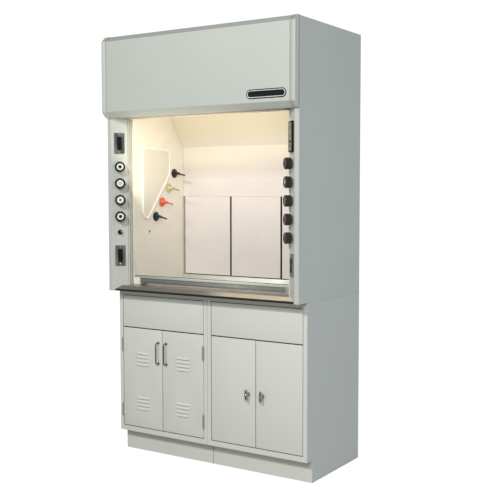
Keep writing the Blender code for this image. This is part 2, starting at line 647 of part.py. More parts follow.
FLANGE = 0.050
for side, x0, x1 in (("left", -HALF, -0.0006), ("right", 0.0006, HALF)):
    outline = [
        (Y_CABINET, TOE_H), (Y_CABINET, Z_SPLIT - GAP), (Y_REAR, Z_SPLIT - GAP), (Y_REAR, 0), (Y_TOE, 0), (Y_TOE, TOE_H),
    ]
    shell = prism(f"cabinet_{side}", outline, "YZ", x0, x1, material(f"cabinet_{side}", DOOR_PAINT, 0.42))
    xa, xb = x0 + SHEET, x1 - SHEET
    yb = Y_REAR - SHEET
    outer_left, outer_right = (STILE, STILE) if side == "left" else (STILE, STILE)
    boolean(shell, boxes(f"cabinet_{side}_front", [((x0 + outer_left, Y_CABINET - 0.01, DOOR_LOW - 0.002), (x1 - outer_right, Y_CABINET + 0.0190, APRON_TOP + 0.002))]))
    boolean(
        shell,
        boxes(
            f"cabinet_{side}_inside",
            [((xa, Y_CABINET + 0.0186, TOE_H + SHEET), (xb, yb, 0.700)), ((xa, Y_CABINET + 0.0186, 0.730), (xb, yb, Z_SPLIT - GAP - SHEET))],
        ),
    )
    boolean(shell, boxes(f"cabinet_{side}_behind_rail", [((xa, Y_CABINET + 0.045, 0.690), (xb, yb, 0.740))]))
    boolean(shell, boxes(f"cabinet_{side}_toe", [((xa, Y_TOE + SHEET, 0.003), (xb, yb, TOE_H - SHEET))]))
    boolean(shell, boxes(f"cabinet_{side}_foot", [((xa + FLANGE, Y_TOE + FLANGE, -0.01), (xb - FLANGE, yb - FLANGE, 0.010))]))

    # false drawer front
    a, b = x0 + STILE + 0.0018, x1 - STILE - 0.0018
    pan(f"apron_{side}", a, b, APRON_LOW, APRON_TOP, material(f"apron_{side}", DOOR_PAINT, 0.42))

    # a pair of doors, hinged at the outer stiles
    middle = (a + b) / 2
    for half, dx0, dx1, hinge_x in (("outer" if side == "left" else "inner", a, middle - 0.0016, x0 + STILE + 0.0010), ("inner" if side == "left" else "outer", middle + 0.0016, b, x1 - STILE - 0.0010)):
        number = {("left", "outer"): 1, ("left", "inner"): 2, ("right", "inner"): 3, ("right", "outer"): 4}[(side, half)]
        name = f"door_{number}"
        inward = 1 if hinge_x < middle else -1
        hinge_y = Y_CABINET - HINGE_R - 0.0006 if side == "left" else Y_CABINET - 0.001
        door = pan(name, dx0, dx1, DOOR_LOW, DOOR_TOP, material(name, DOOR_PAINT, 0.42), pivot=(hinge_x, hinge_y, (DOOR_LOW + DOOR_TOP) / 2))
        if side == "left":
            # two louvred vents cut through the front sheet
            centre = (dx0 + dx1) / 2
            slots = []
            for zc in (0.5370, 0.2850):
                for k in range(4):
                    z = zc + (k - 1.5) * 0.021
                    slots.append(((centre - 0.0465, Y_CABINET - 0.004, z - 0.0030), (centre + 0.0465, Y_CABINET + 0.004, z + 0.0030)))
            boolean(door, boxes(name + "_vents", slots))
            # hinge knuckles with the leaf that laps onto the door
            for zc in (0.6110, 0.2400):
                barrel = turned(name + "_knuckle", [(0, zc + 0.037), (HINGE_R, zc + 0.037), (HINGE_R, zc - 0.037), (0, zc - 0.037)], (hinge_x, hinge_y, 0), (0, 0, 1), coll=CUTTERS, steps=14)
                lo, hi = sorted((hinge_x + inward * 0.0005, hinge_x + inward * 0.020))
                leaf = box(name + "_leaf", (lo, Y_CABINET - 0.0035, zc - 0.036), (hi, Y_CABINET + 0.0008, zc + 0.036), coll=CUTTERS)
                boolean(leaf, barrel, "UNION")
                boolean(door, leaf, "UNION")
            # bar pull
            px = (x0 + x1) / 2 - inward * 0.0275
            bar_y, z_lo, z_hi = Y_CABINET - 0.024, 0.5240, 0.6400
            bend = 0.012
            arc = [(math.radians(15 * k)) for k in range(7)]
            points = [(px, Y_CABINET - GAP, z_lo)]
            points += [(px, bar_y + bend - bend * math.sin(t), z_lo + bend - bend * math.cos(t)) for t in arc]
            points += [(px, bar_y + bend - bend * math.cos(t), z_hi - bend + bend * math.sin(t)) for t in arc]
            points += [(px, Y_CABINET - GAP, z_hi)]
            rod(f"door_{number}_pull", points, 0.0040, material(f"door_{number}_pull", (0.6, 0.6, 0.6), 0.25, 0.95), pivot=(px, Y_CABINET, (z_lo + z_hi) / 2))
        else:
            # locking T handle: a round rose and stem, an upright oval grip, and the lock's face
            px = (x0 + x1) / 2 - inward * 0.044
            centre = Vector((px, Y_CABINET - GAP, 0.4250))
            rose = turned(
                f"door_{number}_handle",
                [(0, 0.0315), (0.0060, 0.0315), (0.0062, 0.022), (0.0070, 0.018), (0.0072, 0.008), (0.0098, 0.0046), (0.0112, 0.003), (0.0112, 0.0), (0, 0.0)],
                centre,
                (0, -1, 0),
                material(f"door_{number}_handle", (0.62, 0.62, 0.62), 0.2, 0.95),
                steps=20,
            )
            grip = [(0.0078 * abs(math.cos(t)) ** 0.75 * math.copysign(1, math.cos(t)), 0.0290 * math.sin(t)) for t in [2 * math.pi * (k + 0.5) / 24 for k in range(24)]]
            arm = prism(
                f"door_{number}_grip",
                [(px + u, 0.4250 + v) for u, v in grip],
                "XZ",
                Y_CABINET - 0.0300,
                Y_CABINET - 0.0180,
                coll=CUTTERS,
            )
            boolean(rose, arm, "UNION")

bpy.context.view_layer.update()
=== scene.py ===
import math

import bmesh
import bpy
from mathutils import Matrix, Vector


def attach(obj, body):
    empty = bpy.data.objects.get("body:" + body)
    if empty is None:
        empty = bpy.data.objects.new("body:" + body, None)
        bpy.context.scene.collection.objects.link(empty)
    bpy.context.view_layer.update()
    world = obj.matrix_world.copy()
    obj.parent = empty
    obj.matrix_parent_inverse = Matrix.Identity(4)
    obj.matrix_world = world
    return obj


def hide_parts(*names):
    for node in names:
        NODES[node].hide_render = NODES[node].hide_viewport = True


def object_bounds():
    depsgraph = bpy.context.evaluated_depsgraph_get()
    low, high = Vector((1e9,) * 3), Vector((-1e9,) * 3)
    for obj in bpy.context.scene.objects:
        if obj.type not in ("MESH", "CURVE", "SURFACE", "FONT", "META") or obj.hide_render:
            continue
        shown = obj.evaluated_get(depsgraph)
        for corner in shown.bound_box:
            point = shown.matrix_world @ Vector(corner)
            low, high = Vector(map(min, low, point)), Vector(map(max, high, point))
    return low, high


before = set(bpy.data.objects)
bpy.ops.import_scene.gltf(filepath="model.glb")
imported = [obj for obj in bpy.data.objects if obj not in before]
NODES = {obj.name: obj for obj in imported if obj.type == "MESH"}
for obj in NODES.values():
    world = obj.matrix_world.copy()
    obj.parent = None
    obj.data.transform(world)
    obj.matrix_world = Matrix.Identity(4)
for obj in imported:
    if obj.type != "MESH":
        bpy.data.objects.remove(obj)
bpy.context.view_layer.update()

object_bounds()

# ------------------------------------------------------------------ sizes, in metres, as in the CAD source
HALF = 0.6096
Y_FASCIA, Y_POST, Y_REAR = -0.3556, -0.3144, 0.3556
Z_SPLIT, Z_WORK, Z_TOP = 0.925, 0.955, 2.3188
FASCIA_LOW, CHAMFER, STRIP = 1.881, 0.030, 0.030
INSIDE = 0.5146
Y_CABINET, DOOR_T = -0.2270, 0.018
ALONG = 0.0445
KNOB_Z = [1.6130, 1.5218, 1.4306, 1.3394, 1.2482]
SWITCH_Z = 1.2512


# ------------------------------------------------------------------ materials
class Mat:
    """A Principled material with a short way to add nodes."""

    def __init__(self, name, colour=(0.5, 0.5, 0.5), rough=0.5, metal=0.0, spec=0.5):
        self.mat = bpy.data.materials.new(name)
        self.mat.use_nodes = True
        self.nt = self.mat.node_tree
        self.b = self.nt.nodes["Principled BSDF"]
        self.b.inputs["Base Color"].default_value = (*colour, 1)
        self.b.inputs["Roughness"].default_value = rough
        self.b.inputs["Metallic"].default_value = metal
        self.b.inputs["Specular IOR Level"].default_value = spec
        self.coord = self.nt.nodes.new("ShaderNodeTexCoord").outputs["Object"]

    def node(self, kind, **inputs):
        n = self.nt.nodes.new(kind)
        for k, v in inputs.items():
            k = k.replace("_", " ")
            if hasattr(v, "is_output"):
                self.nt.links.new(v, n.inputs[k])
            else:
                n.inputs[k].default_value = v
        return n

    def noise(self, scale, detail=3.0, stretch=None, rough=0.55):
        at = self.coord
        if stretch:
            m = self.nt.nodes.new("ShaderNodeMapping")
            m.inputs["Scale"].default_value = stretch
            self.nt.links.new(at, m.inputs["Vector"])
            at = m.outputs["Vector"]
        return self.node("ShaderNodeTexNoise", Vector=at, Scale=scale, Detail=detail, Roughness=rough).outputs["Fac"]

    def ramp(self, value, lo, hi, a=0.0, b=1.0):
        n = self.nt.nodes.new("ShaderNodeMapRange")
        n.inputs["From Min"].default_value = lo
        n.inputs["From Max"].default_value = hi
        n.inputs["To Min"].default_value = a
        n.inputs["To Max"].default_value = b
        self.nt.links.new(value, n.inputs["Value"])
        return n.outputs["Result"]

    def mix(self, fac, a, b):
        n = self.nt.nodes.new("ShaderNodeMix")
        n.data_type = "RGBA"
        for key, v in (("Factor", fac), ("A", a), ("B", b)):
            sockets = [s for s in n.inputs if s.name == key and s.enabled]
            s = sockets[0] if key == "Factor" else [s for s in n.inputs if s.name == key and s.type == "RGBA"][0]
            if hasattr(v, "is_output"):
                self.nt.links.new(v, s)
            else:
                s.default_value = v if key == "Factor" else (*v, 1)
        return [s for s in n.outputs if s.type == "RGBA"][0]

    def math(self, op, a, b):
        n = self.nt.nodes.new("ShaderNodeMath")
        n.operation = op
        for i, v in enumerate((a, b)):
            if hasattr(v, "is_output"):
                self.nt.links.new(v, n.inputs[i])
            else:
                n.inputs[i].default_value = v
        return n.outputs[0]

    def axis(self, which):
        n = self.nt.nodes.new("ShaderNodeSeparateXYZ")
        self.nt.links.new(self.coord, n.inputs[0])
        return n.outputs[which]

    def facing_axis(self, which):
        """How far the surface's normal points along one axis."""
        g = self.nt.nodes.new("ShaderNodeNewGeometry")
        n = self.nt.nodes.new("ShaderNodeSeparateXYZ")
        self.nt.links.new(g.outputs["Normal"], n.inputs[0])
        return n.outputs[which]

    def colour(self, socket):
        self.nt.links.new(socket, self.b.inputs["Base Color"])
        return self

    def rough(self, socket):
        self.nt.links.new(socket, self.b.inputs["Roughness"])
        return self

    def bump(self, height, strength=0.1, distance=0.001):
        n = self.nt.nodes.new("ShaderNodeBump")
        n.inputs["Strength"].default_value = strength
        n.inputs["Distance"].default_value = distance
        self.nt.links.new(height, n.inputs["Height"])
        self.nt.links.new(n.outputs["Normal"], self.b.inputs["Normal"])
        return self


def shade(c, k):
    return tuple(min(1.0, x * k) for x in c)


def powder_coat(name, colour, rough=0.40, scuff=0.0, top_shade=0.0, shade_plane=None, edge_only=False):
    """Baked powder coat: an even colour with a faint cloudiness, fine orange peel, scuffs low down, painted shade on
    what faces up, painted shade in the gaps behind the front plane, and a painted darker, cooler tone on faces that
    look sideways.
    """
    m = Mat(name, colour, rough)
    cloud = m.ramp(m.noise(2.2, 4.0), 0.3, 0.7)
    fleck = m.ramp(m.noise(420.0, 2.0), 0.35, 0.65)
    base = m.mix(cloud, shade(colour, 0.975), shade(colour, 1.02))
    base = m.mix(m.math("MULTIPLY", fleck, 0.10), base, shade(colour, 0.86))
    if scuff:
        low = m.ramp(m.axis(2), 0.22, 0.0)
        marks = m.ramp(m.noise(34.0, 5.0, stretch=(0.25, 0.25, 1.6), rough=0.7), 0.60, 0.74)
        base = m.mix(m.math("MULTIPLY", m.math("MULTIPLY", low, marks), scuff), base, shade(colour, 0.72))
    # painted shade: surfaces that face up are pulled towards a dark tone
    if top_shade:
        faces_up_shade = m.ramp(m.facing_axis(2), 0.25, 0.60, 0.0, top_shade)
        base = m.mix(faces_up_shade, base, (colour[0] * 0.40, colour[1] * 0.385, colour[2] * 0.38))
    # painted shade: faces just behind the front plane, in the gaps and reveals, go near black
    if shade_plane is not None:
        behind = m.ramp(m.axis(1), shade_plane + 0.0012, shade_plane + 0.0040)
        inside = m.math("MULTIPLY", m.math("LESS_THAN", m.math("ABSOLUTE", m.axis(0), 0.0), 0.6060), m.math("GREATER_THAN", m.axis(2), 0.1405))
        near = m.math("LESS_THAN", m.axis(1), shade_plane + 0.025)
        if edge_only:
            near = m.math("MULTIPLY", near, m.math("LESS_THAN", m.math("ABSOLUTE", m.facing_axis(1), 0.0), 0.5))
        base = m.mix(m.math("MULTIPLY", m.math("MULTIPLY", behind, inside), near), base, shade(colour, 0.05))
        # painted shade: faces that look sideways take a darker, cooler tone than the fronts
        side_face_shade = m.ramp(m.math("ABSOLUTE", m.facing_axis(0), 0.0), 0.85, 0.95)
        base = m.mix(side_face_shade, base, (0.560, 0.585, 0.572))
    m.colour(base)
    m.rough(m.ramp(m.noise(5.0, 3.0), 0.3, 0.7, rough - 0.04, rough + 0.05))
    peel = m.noise(520.0, 2.0, rough=0.4)
    m.bump(peel, 0.16, 0.0004)
    return m.mat


def board(name, colour, rough=0.48, low=None):
    """Resin-faced liner board: chalky off-white, softly mottled, with a few faint drips and hairlines."""
    m = Mat(name, colour, rough)
    mottle = m.ramp(m.noise(7.0, 6.0, rough=0.62), 0.32, 0.68)
    streak = m.ramp(m.noise(16.0, 4.0, stretch=(1.0, 1.0, 0.10)), 0.52, 0.80)
    fibre = m.ramp(m.noise(260.0, 3.0, stretch=(0.4, 0.4, 1.0)), 0.35, 0.65)
    base = m.mix(mottle, shade(colour, 0.965), shade(colour, 1.02))
    base = m.mix(m.math("MULTIPLY", streak, 0.12), base, (colour[0] * 0.88, colour[1] * 0.84, colour[2] * 0.76))
    base = m.mix(m.math("MULTIPLY", fibre, 0.08), base, shade(colour, 0.88))
    # low: painted shade, darker below about 1.6 m, in a band from about 1.45 m to 1.6 m, and towards the right below
    # about 1.7 m; a painted warm lamp glow above about 1.75 m
    if low:
        painted_shade_tone = (colour[0] * 0.55, colour[1] * 0.55, colour[2] * 0.62)
        base = m.mix(m.math("MULTIPLY", m.ramp(m.axis(2), 1.67, 1.56), low), base, painted_shade_tone)
        shade_belt = m.math("MULTIPLY", m.ramp(m.axis(2), 1.60, 1.56), m.ramp(m.axis(2), 1.43, 1.48))
        base = m.mix(m.math("MULTIPLY", shade_belt, 0.16), base, painted_shade_tone)
        shade_across = m.math("MULTIPLY", m.ramp(m.axis(0), -0.36, 0.12), m.ramp(m.axis(2), 1.76, 1.66))
        base = m.mix(m.math("MULTIPLY", shade_across, 0.36), base, painted_shade_tone)
        painted_lamp_warmth = (colour[0] * 0.97, colour[1] * 0.95, colour[2] * 0.82)
        base = m.mix(m.math("MULTIPLY", m.ramp(m.axis(2), 1.74, 1.80), 0.8), base, painted_lamp_warmth)
    m.colour(base)
    m.rough(m.ramp(mottle, 0.0, 1.0, rough - 0.05, rough + 0.07))
    m.bump(fibre, 0.10, 0.0003)
    return m.mat


def brushed(name, colour, rough=0.26, along=0, aniso=0.55, stain=0.10):
    """Brushed steel: fine scratches along one axis, with faint water marks."""
    m = Mat(name, colour, rough, 1.0)
    stretch = [220.0, 220.0, 220.0]
    stretch[along] = 2.0
    fine = m.noise(3.0, 3.0, stretch=tuple(stretch), rough=0.6)
    broad = m.noise(0.9, 2.0, stretch=tuple(8.0 if i != along else 0.7 for i in range(3)))
    cloud = m.ramp(m.noise(5.0, 5.0, rough=0.6), 0.35, 0.75)
    base = m.mix(m.ramp(fine, 0.3, 0.7), shade(colour, 0.90), shade(colour, 1.05))
    base = m.mix(m.math("MULTIPLY", m.ramp(broad, 0.35, 0.7), 0.35), base, shade(colour, 0.90))
    base = m.mix(m.math("MULTIPLY", cloud, stain), base, (colour[0] * 0.78, colour[1] * 0.74, colour[2] * 0.66))
    m.colour(base)
    m.rough(m.math("ADD", m.ramp(fine, 0.3, 0.7, rough - 0.05, rough + 0.07), m.ramp(cloud, 0.0, 1.0, 0.0, 0.05)))
    m.bump(fine, 0.10, 0.0002)
    m.b.inputs["Anisotropic"].default_value = aniso
    return m.mat


def cast(name, colour, rough=0.3, metal=0.0, grain=700.0, depth=0.0003, spec=0.5, coat=0.0):
    """Moulded plastic, enamel or plated metal: an even colour, a fine surface and slightly uneven gloss."""
    m = Mat(name, colour, rough, metal, spec)
    cloud = m.ramp(m.noise(28.0, 4.0), 0.3, 0.7)
    m.colour(m.mix(cloud, shade(colour, 0.93), shade(colour, 1.05)))
    m.rough(m.ramp(m.noise(60.0, 4.0), 0.3, 0.7, max(0.03, rough - 0.04), rough + 0.06))
    m.bump(m.noise(grain, 2.0), 0.10, depth)
    if coat:
        m.b.inputs["Coat Weight"].default_value = coat
        m.b.inputs["Coat Roughness"].default_value = 0.12
    return m.mat


def glass(name, colour=(0.965, 0.988, 0.978)):
    """Clear safety glass that lets lamps through, with faint smears."""
    m = Mat(name, colour, 0.02)
    m.b.inputs["Transmission Weight"].default_value = 1.0
    m.b.inputs["IOR"].default_value = 1.46
    smear = m.ramp(m.noise(9.0, 6.0, stretch=(1.0, 1.0, 0.35), rough=0.65), 0.52, 0.80, 0.015, 0.10)
    m.rough(smear)
    out = m.nt.nodes["Material Output"]
    clear = m.nt.nodes.new("ShaderNodeBsdfTransparent")
    clear.inputs["Color"].default_value = (*shade(colour, 0.97), 1)
    path = m.nt.nodes.new("ShaderNodeLightPath")
    both = m.nt.nodes.new("ShaderNodeMixShader")
    m.nt.links.new(path.outputs["Is Shadow Ray"], both.inputs[0])
    m.nt.links.new(m.b.outputs[0], both.inputs[1])
    m.nt.links.new(clear.outputs[0], both.inputs[2])
    m.nt.links.new(both.outputs[0], out.inputs["Surface"])
    return m.mat


GREEN_GREY = (0.560, 0.592, 0.552)
WARM_GREY = (0.745, 0.755, 0.705)
LINER = (0.80, 0.775, 0.72)

front_paint = powder_coat("front_powder_coat", GREEN_GREY)
fascia_paint = powder_coat("fascia_powder_coat", GREEN_GREY, top_shade=0.55)
panel_paint = powder_coat("panel_powder_coat", (0.550, 0.580, 0.565), 0.42)
cabinet_paint = powder_coat("cabinet_powder_coat", WARM_GREY, 0.42, scuff=0.5, shade_plane=Y_CABINET)
door_paint = powder_coat("door_powder_coat", WARM_GREY, 0.40, shade_plane=Y_CABINET, edge_only=True)
inner_paint = powder_coat("inside_primer", shade(WARM_GREY, 0.74), 0.55)
liner_board = board("liner_board", LINER)
# the baffles carry painted shade and a painted lamp glow, set by low
baffle_board = board("baffle_board", (0.82, 0.785, 0.735), 0.42, low=0.40)
cover_board = board("cover_board", (0.68, 0.665, 0.61), 0.50)
trim_white = cast("white_trim", (0.86, 0.84, 0.77), 0.45)
block_white = cast("white_end_block", (0.86, 0.86, 0.81), 0.40)
track_vinyl = cast("track_vinyl", (0.66, 0.66, 0.60), 0.42)
stainless = brushed("stainless_worktop", (0.47, 0.455, 0.42), 0.30, along=0)
pale_epoxy = powder_coat("pale_epoxy", (0.70, 0.725, 0.685), 0.34)
sill_lip = cast("sill_lip", (0.60, 0.615, 0.575), 0.34)
# the set-back flange of the sill and the right end block, in a darker grey as painted shade
sill_shade = cast("sill_flange_painted_shade", (0.42, 0.42, 0.40), 0.40, metal=0.3)
# near-black strips laid where there is only shade: painted shade
black_shade_strip = cast("black_painted_shade_strip", (0.012, 0.012, 0.010), 0.55)
stainless_v = brushed("stainless_plate", (0.36, 0.37, 0.355), 0.36, along=2, stain=0.25)
pull_steel = brushed("pull_steel", (0.26, 0.26, 0.25), 0.24, along=2, aniso=0.4, stain=0.0)
rail_paint = powder_coat("rail_paint", (0.68, 0.65, 0.57), 0.38)
chrome = cast("chrome", (0.40, 0.40, 0.39), 0.20, 1.0, depth=0.00005)
bright = cast("bright_screw", (0.80, 0.80, 0.79), 0.18, 1.0, depth=0.00005)
zinc = cast("zinc_plate", (0.40, 0.41, 0.40), 0.34, 1.0, grain=180.0)
knuckle_steel = cast("hinge_steel", (0.42, 0.42, 0.40), 0.34, 0.45, grain=180.0)
duct_steel = brushed("duct_steel", (0.56, 0.57, 0.58), 0.34, along=0, aniso=0.2, stain=0.16)
iron = cast("cast_iron_paint", (0.035, 0.035, 0.037), 0.55, grain=90.0, depth=0.001)
black_gloss = cast("black_plastic", (0.010, 0.010, 0.010), 0.24, spec=0.35)
black_satin = cast("black_satin_plastic", (0.007, 0.007, 0.006), 0.45, spec=0.22)
knob_side = cast("knob_bakelite", (0.009, 0.008, 0.007), 0.38, spec=0.22)
knob_dark = cast("knob_bakelite_right", (0.024, 0.020, 0.017), 0.24, spec=0.80)
rim_bright = cast("bright_rim", (0.82, 0.83, 0.81), 0.30)
white_face = cast("knob_index_face", (0.86, 0.86, 0.84), 0.30)
# near black for slots and keyways drawn as thin bars: painted shade
slot_shade = cast("painted_slot_shade", (0.006, 0.006, 0.006), 0.6)
enamel = cast("white_enamel", (0.80, 0.80, 0.78), 0.35)
silver = cast("silver_print", (0.72, 0.73, 0.73), 0.34, 0.35)


# ------------------------------------------------------------------ mesh helpers
def finish_mesh(name, bm, mats, body, smooth=35, replaces=(), matrix=None, bevel=None, segments=3):
    """Makes the piece from a bmesh in the row frame, or in a local frame placed by matrix."""
    bmesh.ops.remove_doubles(bm, verts=bm.verts, dist=1e-6)
    bmesh.ops.recalc_face_normals(bm, faces=bm.faces)
    me = bpy.data.meshes.new(name)
    bm.to_mesh(me)
    bm.free()
    for m in mats if isinstance(mats, (list, tuple)) else [mats]:
        me.materials.append(m)
    ob = bpy.data.objects.new(name, me)
    bpy.context.scene.collection.objects.link(ob)
    if matrix is not None:
        ob.matrix_world = matrix
    if bevel:
        mod = ob.modifiers.new("edges", "BEVEL")
        mod.width = bevel
        mod.segments = segments
        mod.limit_method = "ANGLE"
        mod.angle_limit = math.radians(38)
        mod.harden_normals = False
    if smooth:
        me.shade_smooth()
        me.set_sharp_from_angle(angle=math.radians(smooth))
    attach(ob, body)
    if replaces:
        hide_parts(*([replaces] if isinstance(replaces, str) else replaces))
    return ob


def put_box(bm, lo, hi, mat=0, bevel=0.0, segments=2):
    lo, hi = Vector(lo), Vector(hi)
    made = bmesh.ops.create_cube(bm, size=1.0)["verts"]
    bmesh.ops.scale(bm, verts=made, vec=hi - lo)
    bmesh.ops.translate(bm, verts=made, vec=(lo + hi) / 2)
    faces = {f for v in made for f in v.link_faces}
    for f in faces:
        f.material_index = mat
    if bevel:
        edges = list({e for v in made for e in v.link_edges})
        out = bmesh.ops.bevel(bm, geom=edges, offset=bevel, segments=segments, affect="EDGES", profile=0.5)
        for f in out["faces"]:
            f.material_index = mat
        made = list({v for f in out["faces"] for v in f.verts} | {v for v in made if v.is_valid})
    return made


def put_lathe(bm, profile, steps=48, mat=0, lobes=0, lobe_depth=0.0, lobe_from=0.0, lobe_to=1e9, place=None):
    """Turned about local +Z; profile is (radius, height, [material]) from the middle of the top, out and down. Lobes are flutes cut into the rim between two heights."""
    rings = []
    for item in profile:
        r, h = item[0], item[1]
        if r < 1e-7:
            rings.append([bm.verts.new((0, 0, h))])
            continue
        ring = []
        for i in range(steps):
            a = 2 * math.pi * i / steps
            rr = r
            if lobes and lobe_from <= h <= lobe_to:
                w = 0.5 + 0.5 * math.cos(a * lobes)
                rr = r - lobe_depth * w ** 3
            ring.append(bm.verts.new((rr * math.cos(a), rr * math.sin(a), h)))
        rings.append(ring)
    faces = []
    for k, (a, b) in enumerate(zip(rings, rings[1:])):
        idx = profile[k][2] if len(profile[k]) > 2 else mat
        for i in range(steps):
            j = (i + 1) % steps
            if len(a) == 1 and len(b) == 1:
                continue
            if len(a) == 1:
                f = bm.faces.new((a[0], b[i], b[j]))
            elif len(b) == 1:
                f = bm.faces.new((a[i], b[0], a[j]))
            else:
                f = bm.faces.new((a[i], b[i], b[j], a[j]))
            f.material_index = idx
            faces.append(f)
    verts = [v for ring in rings for v in ring]
    if place is not None:
        bmesh.ops.transform(bm, matrix=place, verts=verts)
    return verts


def put_prism(bm, outline, plane, low, high, mat=0):
    """A flat outline given thickness along the third axis, with its caps as single faces."""
    def at(u, v, w):
        return {"XY": (u, v, w), "YZ": (w, u, v), "XZ": (u, w, v)}[plane]

    a = [bm.verts.new(at(u, v, low)) for u, v in outline]
    b = [bm.verts.new(at(u, v, high)) for u, v in outline]
    n = len(outline)
    made = [bm.faces.new(a), bm.faces.new(list(reversed(b)))]
    for i in range(n):
        j = (i + 1) % n
        made.append(bm.faces.new((a[i], a[j], b[j], b[i])))
    for f in made:
        f.material_index = mat
    return a + b


def round_path(points, radius, steps=5, closed=False):
    """A polyline with its corners replaced by arcs; radius may be one number or one for each corner."""
    pts = [Vector(p) for p in points]
    n = len(pts)
    out = []
    for i, p in enumerate(pts):
        if not closed and i in (0, n - 1):
            out.append(p.copy())
            continue
        r = radius[i] if isinstance(radius, (list, tuple)) else radius
        a, b = pts[i - 1], pts[(i + 1) % n]
        da, db = (a - p).normalized(), (b - p).normalized()
        ang = da.angle(db)
        if r <= 0 or ang > math.radians(179):
            out.append(p.copy())
            continue
        reach = min(r / math.tan(ang / 2), (a - p).length * 0.49, (b - p).length * 0.49)
        r = reach * math.tan(ang / 2)
        centre = p + (da + db).normalized() * (r / math.sin(ang / 2))
        s, e = p + da * reach - centre, p + db * reach - centre
        for k in range(steps + 1):
            t = k / steps
            out.append(centre + s.normalized().slerp(e.normalized(), t) * r)
    return out


def sheet_metal(name, path, plane, low, high, thick, mat, body, replaces=(), radius=0.004, inward=1.0, smooth=40):
    """A folded sheet: a rounded polyline drawn out along the third axis and given thickness."""
    pts = round_path([(*p, 0) for p in path], radius)
    bm = bmesh.new()

    def at(u, v, w):
        return {"XY": (u, v, w), "YZ": (w, u, v), "XZ": (u, w, v)}[plane]

    a = [bm.verts.new(at(p.x, p.y, low)) for p in pts]
    b = [bm.verts.new(at(p.x, p.y, high)) for p in pts]
    for i in range(len(pts) - 1):
        bm.faces.new((a[i], a[i + 1], b[i + 1], b[i]))
    me = bpy.data.meshes.new(name)
    bm.to_mesh(me)
    bm.free()
    me.materials.append(mat)
    ob = bpy.data.objects.new(name, me)
    bpy.context.scene.collection.objects.link(ob)
    mod = ob.modifiers.new("sheet", "SOLIDIFY")
    mod.thickness = thick * inward
    mod.offset = -1.0
    mod.use_even_offset = True
    me.shade_smooth()
    me.set_sharp_from_angle(angle=math.radians(smooth))
    sharp = ob.modifiers.new("edge", "EDGE_SPLIT")
    sharp.split_angle = math.radians(smooth)
    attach(ob, body)
    if replaces:
        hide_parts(replaces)
    return ob


def put_tube(bm, points, radius, sides=12, mat=0, closed=False, flat=1.0, up=None):
    """A round bar along a path; radius may change along it. flat squashes it along up."""
    pts = [Vector(p) for p in points]
    n = len(pts)
    rings = []
    normal = None
    for i, p in enumerate(pts):
        if closed:
            d = (pts[(i + 1) % n] - pts[i - 1]).normalized()
        else:
            d = (pts[min(i + 1, n - 1)] - pts[max(i - 1, 0)]).normalized()
        if up is not None:
            normal = Vector(up) - d * Vector(up).dot(d)
        elif normal is None:
            normal = d.orthogonal()
        else:
            normal = normal - d * normal.dot(d)
        normal.normalize()
        side = d.cross(normal)
        r = radius[i] if isinstance(radius, (list, tuple)) else radius
        ring = []
        for k in range(sides):
            a = 2 * math.pi * k / sides
            ring.append(bm.verts.new(p + normal * (r * flat * math.cos(a)) + side * (r * math.sin(a))))
        rings.append(ring)
    loops = list(zip(rings, rings[1:])) + ([(rings[-1], rings[0])] if closed else [])
    for a, b in loops:
        for k in range(sides):
            j = (k + 1) % sides
            f = bm.faces.new((a[k], a[j], b[j], b[k]))
            f.material_index = mat
    if not closed:
        f = bm.faces.new(list(reversed(rings[0])))
        f.material_index = mat
        f = bm.faces.new(rings[-1])
        f.material_index = mat
    return [v for r in rings for v in r]


def facing(point, direction, z=0.0, x_axis=None):
    """A local frame whose +Z points along direction at point, with +X level and +Y up."""
    w = Vector(direction).normalized()
    v = Vector((0, 0, 1))
    v = (v - w * v.dot(w)).normalized() if abs(w.z) < 0.99 else Vector((0, 1, 0))
    u = v.cross(w)
    m = Matrix((u, v, w)).transposed().to_4x4()
    m.translation = Vector(point) + Vector((0, 0, z))
    return m


def post(side):
    """Middle line of an angled post face and its outward direction."""
    s = 0.025 + ALONG / math.sqrt(2)
    back = ALONG / math.sqrt(2)
    if side == "left":
        return Vector((-HALF + s, Y_POST + back, 0)), Vector((1, -1, 0)).normalized()
    return Vector((HALF - s, Y_POST + back, 0)), Vector((-1, -1, 0)).normalized()


# ------------------------------------------------------------------ finishes for the CAD nodes
def soften(node, width, segments=2):
    """Small rounded edges on a carried-over CAD node, made by modifiers only."""
    ob = NODES[node]
    me = ob.data
    if "custom_normal" in me.attributes:
        me.attributes.remove(me.attributes["custom_normal"])
    weld = ob.modifiers.new("weld", "WELD")
    weld.merge_threshold = 0.00001
    flat = ob.modifiers.new("flats", "DECIMATE")
    flat.decimate_type = "DISSOLVE"
    flat.angle_limit = math.radians(0.5)
    mod = ob.modifiers.new("edges", "BEVEL")
    mod.width = width
    mod.segments = segments
    mod.limit_method = "ANGLE"
    mod.angle_limit = math.radians(30)
    mod.use_clamp_overlap = True
    mod.harden_normals = False
    me.shade_smooth()
    split = ob.modifiers.new("split", "EDGE_SPLIT")
    split.split_angle = math.radians(31)
    even = ob.modifiers.new("even", "WEIGHTED_NORMAL")
    even.mode = "FACE_AREA"
    even.weight = 100
    even.keep_sharp = True
    return ob


